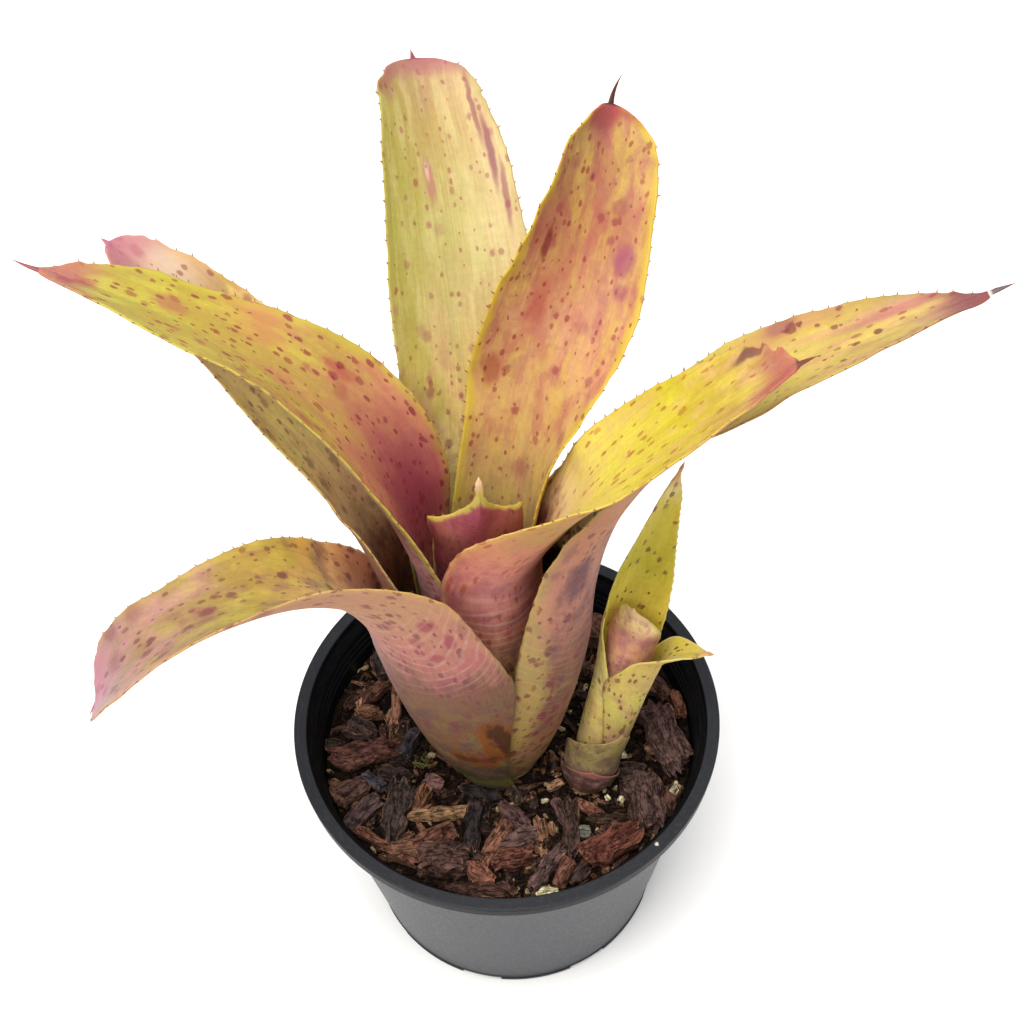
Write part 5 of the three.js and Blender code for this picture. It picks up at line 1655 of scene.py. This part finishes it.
@dataclass
class BarkMix:
    """The bed of bark in the pot: its uneven surface, near black as painted shade between the chips, the
    chips on it and the crumbs between.
    """

    level: float = 83.5
    dome: float = 1.5
    seed: int = 7
    edge_radius: float = 65.4
    bottom: float = 4.4
    bottom_radius: float = 50.2
    rings: int = 64
    sectors: int = 200
    # Radius that the pot's inside leaves free at its foot, and how much it widens with each millimetre.
    pot_foot: float = 50.1
    pot_taper: float = 0.183
    fill_count: int = 20
    medium_count: int = 330
    splinter_count: int = 60
    moss_count: int = 22
    moss_place: Pair = (-31, -7)
    moss_greens: tuple[int, int] = (0x5E6E28, 0x48561E)
    pale_browns: tuple[int, int, int] = (0xB07C50, 0x9A6A44, 0x8C4A30)
    # Limestone grit that shows between the chips: x, y, size and colour.
    grit: tuple[tuple[float, float, float, int], ...] = (
        (11, -62, 7, 0xF8ECB0), (58, -23, 5, 0xE0D0A0), (41, -8, 3, 0xE8DCA8), (12, -25, 2.6, 0xE8DCA8),
        (39, -26, 2.4, 0xE8DCA8), (34, -25, 2.2, 0xE0D4A0), (25, -38, 5, 0x8A9080))

    def bed_height(self, x: Array | float, y: Array | float) -> Array:
        """Height of the bed's surface, heaped up against the plant's foot and broken by hollows.

        Args:
            x: Places in X.
            y: Places in Y.

        Returns:
            Heights in millimetres.
        """
        points = stacked(x / 6.0, y / 6.0, 0.0)
        rough = 1.3 * hash_noise(points, 5) + 0.7 * hash_noise(points * 2.7, 6)
        fine = 0.4 * hash_noise(points * 7.1, 8)
        from_plant = np.hypot(x - VASE.foot[0], y - VASE.foot[1])
        from_pup = np.hypot(x - PUP_BASE.x, y - PUP_BASE.y)
        heap = 2.2 * np.exp(-((np.maximum(from_plant - 13, 0) / 7) ** 2))
        heap += 0.8 * np.exp(-((from_pup / 9) ** 2))
        out = np.hypot(x, y) / self.edge_radius
        return self.level - 0.9 - self.dome * out**3 + heap + (rough + fine) * (1 - 0.3 * out)

    def disc(self, radius: float, rings: int, sectors: int, lift: float = 0.0) -> Array:
        """Points on rings over the bed's surface.

        Args:
            radius: The outermost ring's radius.
            rings: How many rings there are.
            sectors: Points on each ring.
            lift: Height over the surface.

        Returns:
            The points, ring by ring outwards.
        """
        angle = 2 * math.pi * np.arange(sectors) / sectors
        across = (radius * (np.arange(1, rings + 1) / rings))[:, None]
        x, y = across * np.cos(angle), across * np.sin(angle)
        return stacked(x, y, self.bed_height(x, y) + lift).reshape(-1, 3)

    def bed(self) -> None:
        """Builds the bed as one closed body."""
        n = self.sectors
        angle = 2 * math.pi * np.arange(n) / n
        low = stacked(self.bottom_radius * np.cos(angle), self.bottom_radius * np.sin(angle), self.bottom)
        centre = [[0, 0, float(self.bed_height(0.0, 0.0))], [0, 0, self.bottom]]
        points = np.vstack([centre, self.disc(self.edge_radius, self.rings, n), low])
        rings, faces = [2 + n * k for k in range(self.rings + 1)], []
        for j in range(n):
            k = (j + 1) % n
            faces.append((0, 2 + j, 2 + k))
            faces += [(a + j, b + j, b + k, a + k) for a, b in zip(rings, rings[1:])]
            faces.append((1, rings[-1] + k, rings[-1] + j))
        # The bed's near-black tone is painted shade: it stands for the deep shade in the gaps between the
        # chips.
        made = mesh_object("mix_bed", points, faces, Bark().material(),
                           tone=np.tile(srgb(0x0C0806)[:3], (len(points), 1)), grain=points * 1.3)
        dress(made, "bark_mix", "potting_mix")

    def chip(self, row: Sequence[float], lift: float, corners: Array, rock: float, tip: float,
             seed: int, cuts: tuple[int, int, int]) -> tuple[Array, Array, Array, list]:
        """One rough slab of bark.

        Args:
            row: x, y, length, width, thickness and yaw.
            lift: Height over the bed's level.
            corners: Shares of the half sizes at its corners.
            rock: Turn about its length, in degrees.
            tip: Turn about its width, in degrees.
            seed: Picks its roughness.
            cuts: Faces along its length, width and thickness.

        Returns:
            Its points, grain coordinates, wear and faces.
        """
        x, y, length, width, thickness, yaw = row
        size = np.array([length, width, thickness])
        grid, faces = box_grid(cuts)
        sides = np.sign(grid)
        half = sum(weight[:, None] * corners[4 * i + 2 * j + k]
                   for (i, j, k), weight in corner_weights((grid + 1) / 2))
        inner = grid * np.sqrt(np.maximum(1 - 0.22 * (np.roll(grid, 1, 1)**2 + np.roll(grid, 2, 1)**2), 0.2))
        local = (0.45 * grid + 0.55 * 1.12 * inner) * half * 0.5 * size
        fibre = stacked(*(hash_noise(local * (0.12, 0.5, 0.5) + seed, seed + k) for k in range(3)))
        rough = stacked(*(hash_noise(local * 0.45 + 3.1 * seed, seed + 7 + k) for k in range(3)))
        # Splits knock off its corners.
        random = np.random.default_rng(1000 + seed)
        for _ in range(5):
            across = unit(np.array([random.choice((-1, 1)), random.choice((-1, 1)),
                                    random.uniform(-0.9, 0.9)]) * random.uniform(0.35, 1, 3))
            reach = 0.5 * np.abs(across * size).sum() * random.uniform(0.62, 0.86)
            local = local - np.maximum(local @ across - reach, 0)[:, None] * across
        # Bark splits off in plates, so parts of the broad faces lie lower.
        plates = hash_noise(stacked(local[:, 0] / 5.5, local[:, 1] / 3.2, seed), seed)
        sunk = np.clip((plates - 0.05) * 9, 0, 1) * sides[:, 2] * (np.abs(grid[:, 2]) > 0.5)
        local[:, 2] -= 0.2 * thickness * sunk
        local = local + fibre * (0.06 * size) + rough * (0.06 * min(width, thickness) + 0.14)
        ragged = hash_noise(stacked(grid[:, 1] * 2.2, grid[:, 2] * 2.2, seed), seed)
        local[:, 0] += sides[:, 0] * np.abs(grid[:, 0]) ** 6 * 0.13 * length * ragged
        bite = hash_noise(stacked(local[:, 0] / 4.0, sides[:, 1] * 3.0, 5.0 * seed), seed + 3)
        local[:, 1] *= 1 + 0.28 * bite * np.abs(grid[:, 1])
        turn = Matrix.Rotation(math.radians(yaw), 3, "Z")
        for angle, axis in ((tip, "Y"), (rock, "X")):
            turn = turn @ Matrix.Rotation(math.radians(angle), 3, axis)
        points = local @ np.array(turn).T + np.array([x, y, self.level + lift + 0.2 * thickness])
        free = self.pot_foot + self.pot_taper * points[:, 2]
        points[:, :2] *= np.minimum(1, free / np.maximum(np.hypot(points[:, 0], points[:, 1]), 1))[:, None]
        return points, local + 9.7 * seed, np.sort(np.abs(grid), axis=1)[:, 1] ** 5, faces

    def large(self) -> ChipPile:
        """The named chips on top, and the fill chips under them.

        Returns:
            The pile.
        """
        draw = random_stream(self.seed)
        spread = [(22 + 41 * math.sqrt((k + 0.5) / self.fill_count) + 2 * next(draw),
                   math.radians(137.508 * k + 20 * next(draw)),
                   8 + 9 * next(draw), 4 + 4 * next(draw), 4 + 3 * next(draw), 180 * next(draw))
                  for k in range(self.fill_count)]
        browns = np.random.default_rng(4)
        chips = [(-0.5, r * math.cos(a), r * math.sin(a), *rest, BROWNS[browns.integers(len(BROWNS))])
                 for r, a, *rest in spread] + [(0.4, *row) for row in TOP_CHIPS]
        pile = ChipPile("bark_chips")
        for k, (lift, *row, tone) in enumerate(chips):
            corners = np.array([[1 - 0.14 * next(draw), 1 - 0.28 * next(draw), 1 - 0.25 * next(draw)]
                                for _ in range(8)])
            rock, tip = 16 * (next(draw) - 0.5), 14 * (next(draw) - 0.5)
            cuts = (max(8, int(row[2] / 1.1)), max(5, int(row[3] / 0.9)), max(4, int(row[4] / 0.9)))
            pile.add(self.chip(row, lift, corners, rock, tip, k, cuts), tone)
        return pile

    def medium(self) -> ChipPile:
        """Medium and small chips, scattered on the bed between the large ones.

        Returns:
            The pile.
        """
        random = np.random.default_rng(21)
        pile = ChipPile("bark_small_chips")
        for k in range(self.medium_count):
            radius = self.edge_radius * math.sqrt(random.uniform(0.02, 0.93))
            angle = random.uniform(0, 2 * math.pi)
            x, y = radius * math.cos(angle), radius * math.sin(angle)
            near = (math.hypot(x - PUP_BASE.x, y - PUP_BASE.y) < 11
                    or math.hypot(x - VASE.foot[0], y - VASE.foot[1]) < 18)
            length = random.uniform(2.8, 9.5) * (0.5 if near else 1)
            width, thickness = length * random.uniform(0.3, 0.6), length * random.uniform(0.22, 0.45)
            corners = random.uniform(0.7, 1, (8, 3))
            lift = float(self.bed_height(x, y)) - self.level + 0.4
            row = (x, y, length, width, thickness, random.uniform(0, 180))
            tone = BROWNS[random.integers(len(BROWNS))]
            if random.uniform() < 0.1:
                tone = self.pale_browns[random.integers(3)]
            if k < self.splinter_count:
                row = (x, y, 1.5 * length + 3, *random.uniform(0.9, 1.7, 2), random.uniform(0, 180))
            pile.add(self.chip(row, lift, corners, random.uniform(-50, 50), random.uniform(-30, 30),
                               300 + k, (7, 4, 3)), tone)
        for k, (x, y, size, tone) in enumerate(self.grit):
            row = (x, y, size, 0.8 * size, 0.7 * size, 60 * k)
            pile.add(self.chip(row, 0.8, random.uniform(0.8, 1, (8, 3)), 20, 10, 700 + k, (5, 5, 4)), tone)
        for k in range(self.moss_count):
            row = (*(middle + random.uniform(-2.5, 2.5) for middle in self.moss_place),
                   random.uniform(2, 4.5), 0.6, 0.5, random.uniform(0, 180))
            pile.add(self.chip(row, random.uniform(0.5, 3), np.ones((8, 3)), 0, random.uniform(-70, 70),
                               800 + k, (5, 2, 2)), self.moss_greens[k % 2])
        return pile

    def build(self) -> None:
        """Builds the whole mix."""
        self.bed()
        self.large().build()
        self.medium().build()
        Crumbs(self).build()


@dataclass
class Crumbs(Grown):
    """Crumbs of bark, grit and fibre, scattered over the bed."""

    mix: BarkMix
    density: float = 420000.0
    least: float = 0.5
    most: float = 1.7
    seed: int = 3
    rings: int = 40
    sectors: int = 96

    def build(self) -> None:
        """Builds the crumbs as one plain mesh and hands them to the frame."""
        n = self.sectors
        top = self.mix.disc(self.mix.edge_radius - 1.2, self.rings, n, 0.2)
        faces = [(a * n + j, (a + 1) * n + j, (a + 1) * n + (j + 1) % n, a * n + (j + 1) % n)
                 for a in range(self.rings - 1) for j in range(n)]
        made = mesh_object("bark_crumbs", top, faces)
        self.grow(made, Density=self.density, Least=self.least * METRES, Most=self.most * METRES,
                  Seed=self.seed, Material=CrumbBark().material())
        dress(made, "bark_mix")

    def instances(self, add: AddNode, given: bpy.types.NodeOutputs) -> Socket:
        """Scatters lumps of their own size, turn, squeeze and shade.

        Args:
            add: Adds a node.
            given: The tree's inputs.

        Returns:
            The instances.
        """
        seed = given["Seed"]
        points = add("GeometryNodeDistributePointsOnFaces", {
            "Mesh": given["Geometry"], "Density": given["Density"], "Seed": seed}, "Points")
        ball = add("GeometryNodeMeshIcoSphere", {"Radius": 1.0, "Subdivisions": 1}, "Mesh")
        shape = add("TexNoise", {"Scale": 1.1, "Detail": 2.0}, "Color")
        push = add("VectorMath", (shape, (0.5, 0.5, 0.5)), **MINUS)
        pushed = add("VectorMath", (push, (1.5, 1.5, 1.5)), **TIMES)
        lump = add("GeometryNodeSetPosition", {"Geometry": ball, "Offset": pushed})
        turn, squeeze = (add("FunctionNodeRandomValue", {0: least, 1: most, "Seed": seed},
                             data_type="FLOAT_VECTOR")
                         for least, most in (((0.0, 0.0, 0.0), (6.28, 6.28, 6.28)),
                                             ((0.8, 0.3, 0.25), (1.9, 0.9, 0.7))))
        size = add("FunctionNodeRandomValue", {2: given["Least"], 3: given["Most"], "Seed": seed}, 1,
                   data_type="FLOAT")
        placed = add("GeometryNodeInstanceOnPoints", {
            "Points": points, "Instance": lump, "Rotation": turn,
            "Scale": add("VectorMath", {0: squeeze, 3: size}, operation="SCALE")})
        shade = add("FunctionNodeRandomValue", {"Seed": seed}, 1, data_type="FLOAT")
        return add("GeometryNodeStoreNamedAttribute", {"Geometry": placed, "Name": "shade",
                                                       "Value": shade},
                   data_type="FLOAT", domain="INSTANCE")


@dataclass(frozen=True)
class CrumbBark:
    """Crumbs of bark, charcoal and grit: dull, with a few tan fibres and pale grains; their mostly
    near-black tones are partly painted shade in the gaps between chips.
    """

    # The near-black stops are partly painted shade, so that the crumbs read as the shade in the gaps between
    # chips.
    stops: Ramp = (
        (0.0, 0x080605), (0.5, 0x120C0A), (0.75, 0x1A100C), (0.9, 0x302016), (0.97, 0x5E4028),
        (0.992, 0x9A8A68))

    def material(self) -> Material:
        """Builds the crumbs' finish from each crumb's own shade.

        Returns:
            The material.
        """
        material, add = new_material("bark crumbs and grit")
        shade = add("Attribute", output="Fac", attribute_name="shade")
        ramp = add("ValToRGB", (shade,), stops=self.stops)
        place = add("TexCoord", output="Object")
        # Each crumb is mottled in specks of 0.7 mm.
        specks = add("TexNoise", {"Vector": place, "Scale": 1500.0, "Detail": 4.0})
        value = add("MapRange", (specks, 0.3, 0.7, 0.6, 1.3))
        surface(add, Base_Color=add("HueSaturation", {"Value": value, "Color": ramp}), Roughness=0.8,
                IOR=1.5, Specular_IOR_Level=0.08)
        return material


@dataclass(frozen=True)
class WoodyStem:
    """Corky bromeliad stem: olive-brown, ringed and rough."""

    light: int = 0x9A8A55
    dark: int = 0x5A4630

    def material(self) -> Material:
        """Builds the stem's finish.

        Returns:
            The material.
        """
        material, add = new_material("corky stem")
        # Rings of old leaf scars lie 1.4 mm apart.
        drawn = add("VectorMath", (add("TexCoord", output="Object"), (120, 120, 700)), **TIMES)
        rings = add("TexNoise", {"Vector": drawn, "Scale": 1.0, "Detail": 5.0, "Roughness": 0.65})
        share = add("MapRange", (rings, 0.35, 0.65))
        normal = add("Bump", {"Height": rings, "Strength": 0.6, "Distance": 0.0008})
        surface(add, Base_Color=layered(add, self.dark, (share, self.light)), Roughness=0.75,
                Normal=normal, IOR=1.5)
        return material


# --- studio
@dataclass
class Studio:
    """Pale floor, soft lights and the camera."""

    pitch: float = 52.22
    roll: float = -2.92
    place: Triple = (0.0057, -0.3965, 0.7303)
    lens: float = 73.83
    sensor: float = 36.0
    floor_half: float = 2500.0
    # Height of the view and the sky's strength there, at the horizon and overhead.
    horizon: Pair = (0.0, 0.45)
    zenith: Pair = (0.9, 1.0)

    def camera(self) -> None:
        """Sets the camera."""
        pitch, roll = math.radians(self.pitch), math.radians(self.roll)
        level, up = Vector((1, 0, 0)), Vector((0, math.sin(pitch), math.cos(pitch)))
        right = math.cos(roll) * level + math.sin(roll) * up
        top = -math.sin(roll) * level + math.cos(roll) * up
        data = bpy.data.cameras.new("camera")
        data.sensor_width, data.lens = self.sensor, self.lens
        made = bpy.data.objects.new("camera", data)
        turn = Matrix((right, top, right.cross(top))).transposed().to_4x4()
        made.matrix_world = Matrix.Translation(self.place) @ turn
        bpy.context.scene.collection.objects.link(made)
        bpy.context.scene.camera = made

    def light(self, name: str, at: Triple, size: float, power: float,
              colour: int) -> None:
        """Adds one square soft light that faces the plant.

        Args:
            name: Its name.
            at: Its place, in metres.
            size: Its side, in metres.
            power: Its power, in watts.
            colour: Its colour.
        """
        data = bpy.data.lights.new(name, "AREA")
        data.size, data.energy, data.color = size, power, srgb(colour)[:3]
        made = bpy.data.objects.new(name, data)
        made.location = at
        made.rotation_euler = (Vector((0, 0, 0.15)) - Vector(at)).to_track_quat("-Z", "Y").to_euler()
        bpy.context.scene.collection.objects.link(made)

    def build(self) -> None:
        """Builds the floor, the world and the lights."""
        material, add = new_material("matt paper")
        surface(add, Base_Color=srgb(0xF4F4F4), Roughness=0.9)
        corners = self.floor_half * np.array([(-1, -1, 0), (1, -1, 0), (1, 1, 0), (-1, 1, 0)], float)
        mesh_object("floor", corners, [(0, 1, 2, 3)], material)
        world = bpy.data.worlds.new("studio")
        world.use_nodes = True
        add, background = partial(add_node, world.node_tree), world.node_tree.nodes["Background"]
        upward = add("SeparateXYZ", (add("TexCoord", output="Generated"),), "Z")
        strength = add("MapRange", (upward, self.horizon[0], self.zenith[0], self.horizon[1],
                                    self.zenith[1]), **SMOOTH)
        background.inputs["Color"].default_value = (1, 1, 1, 1)
        world.node_tree.links.new(strength, background.inputs["Strength"])
        bpy.context.scene.world = world
        self.light("key", (-0.45, -0.62, 1.5), 1.0, 21.5, 0xFFFCF6)
        self.light("top", (0.0, -0.1, 1.7), 0.9, 16.5, 0xFFFDFA)
        bpy.context.scene.view_settings.view_transform = "Standard"


def main() -> None:
    """Builds everything in order round the frame."""
    logging.basicConfig(level=logging.INFO, format="%(message)s")
    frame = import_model()
    studio = Studio()
    studio.camera()
    studio.build()
    Pot().build()
    BarkMix().build()
    for leaf in (*LEAVES, *PUP_LEAVES):
        leaf.build()
    stem = frame["nodes"]["stem"]
    stem.data.materials.clear()
    stem.data.materials.append(WoodyStem().material())


if __name__ == "__main__":
    main()
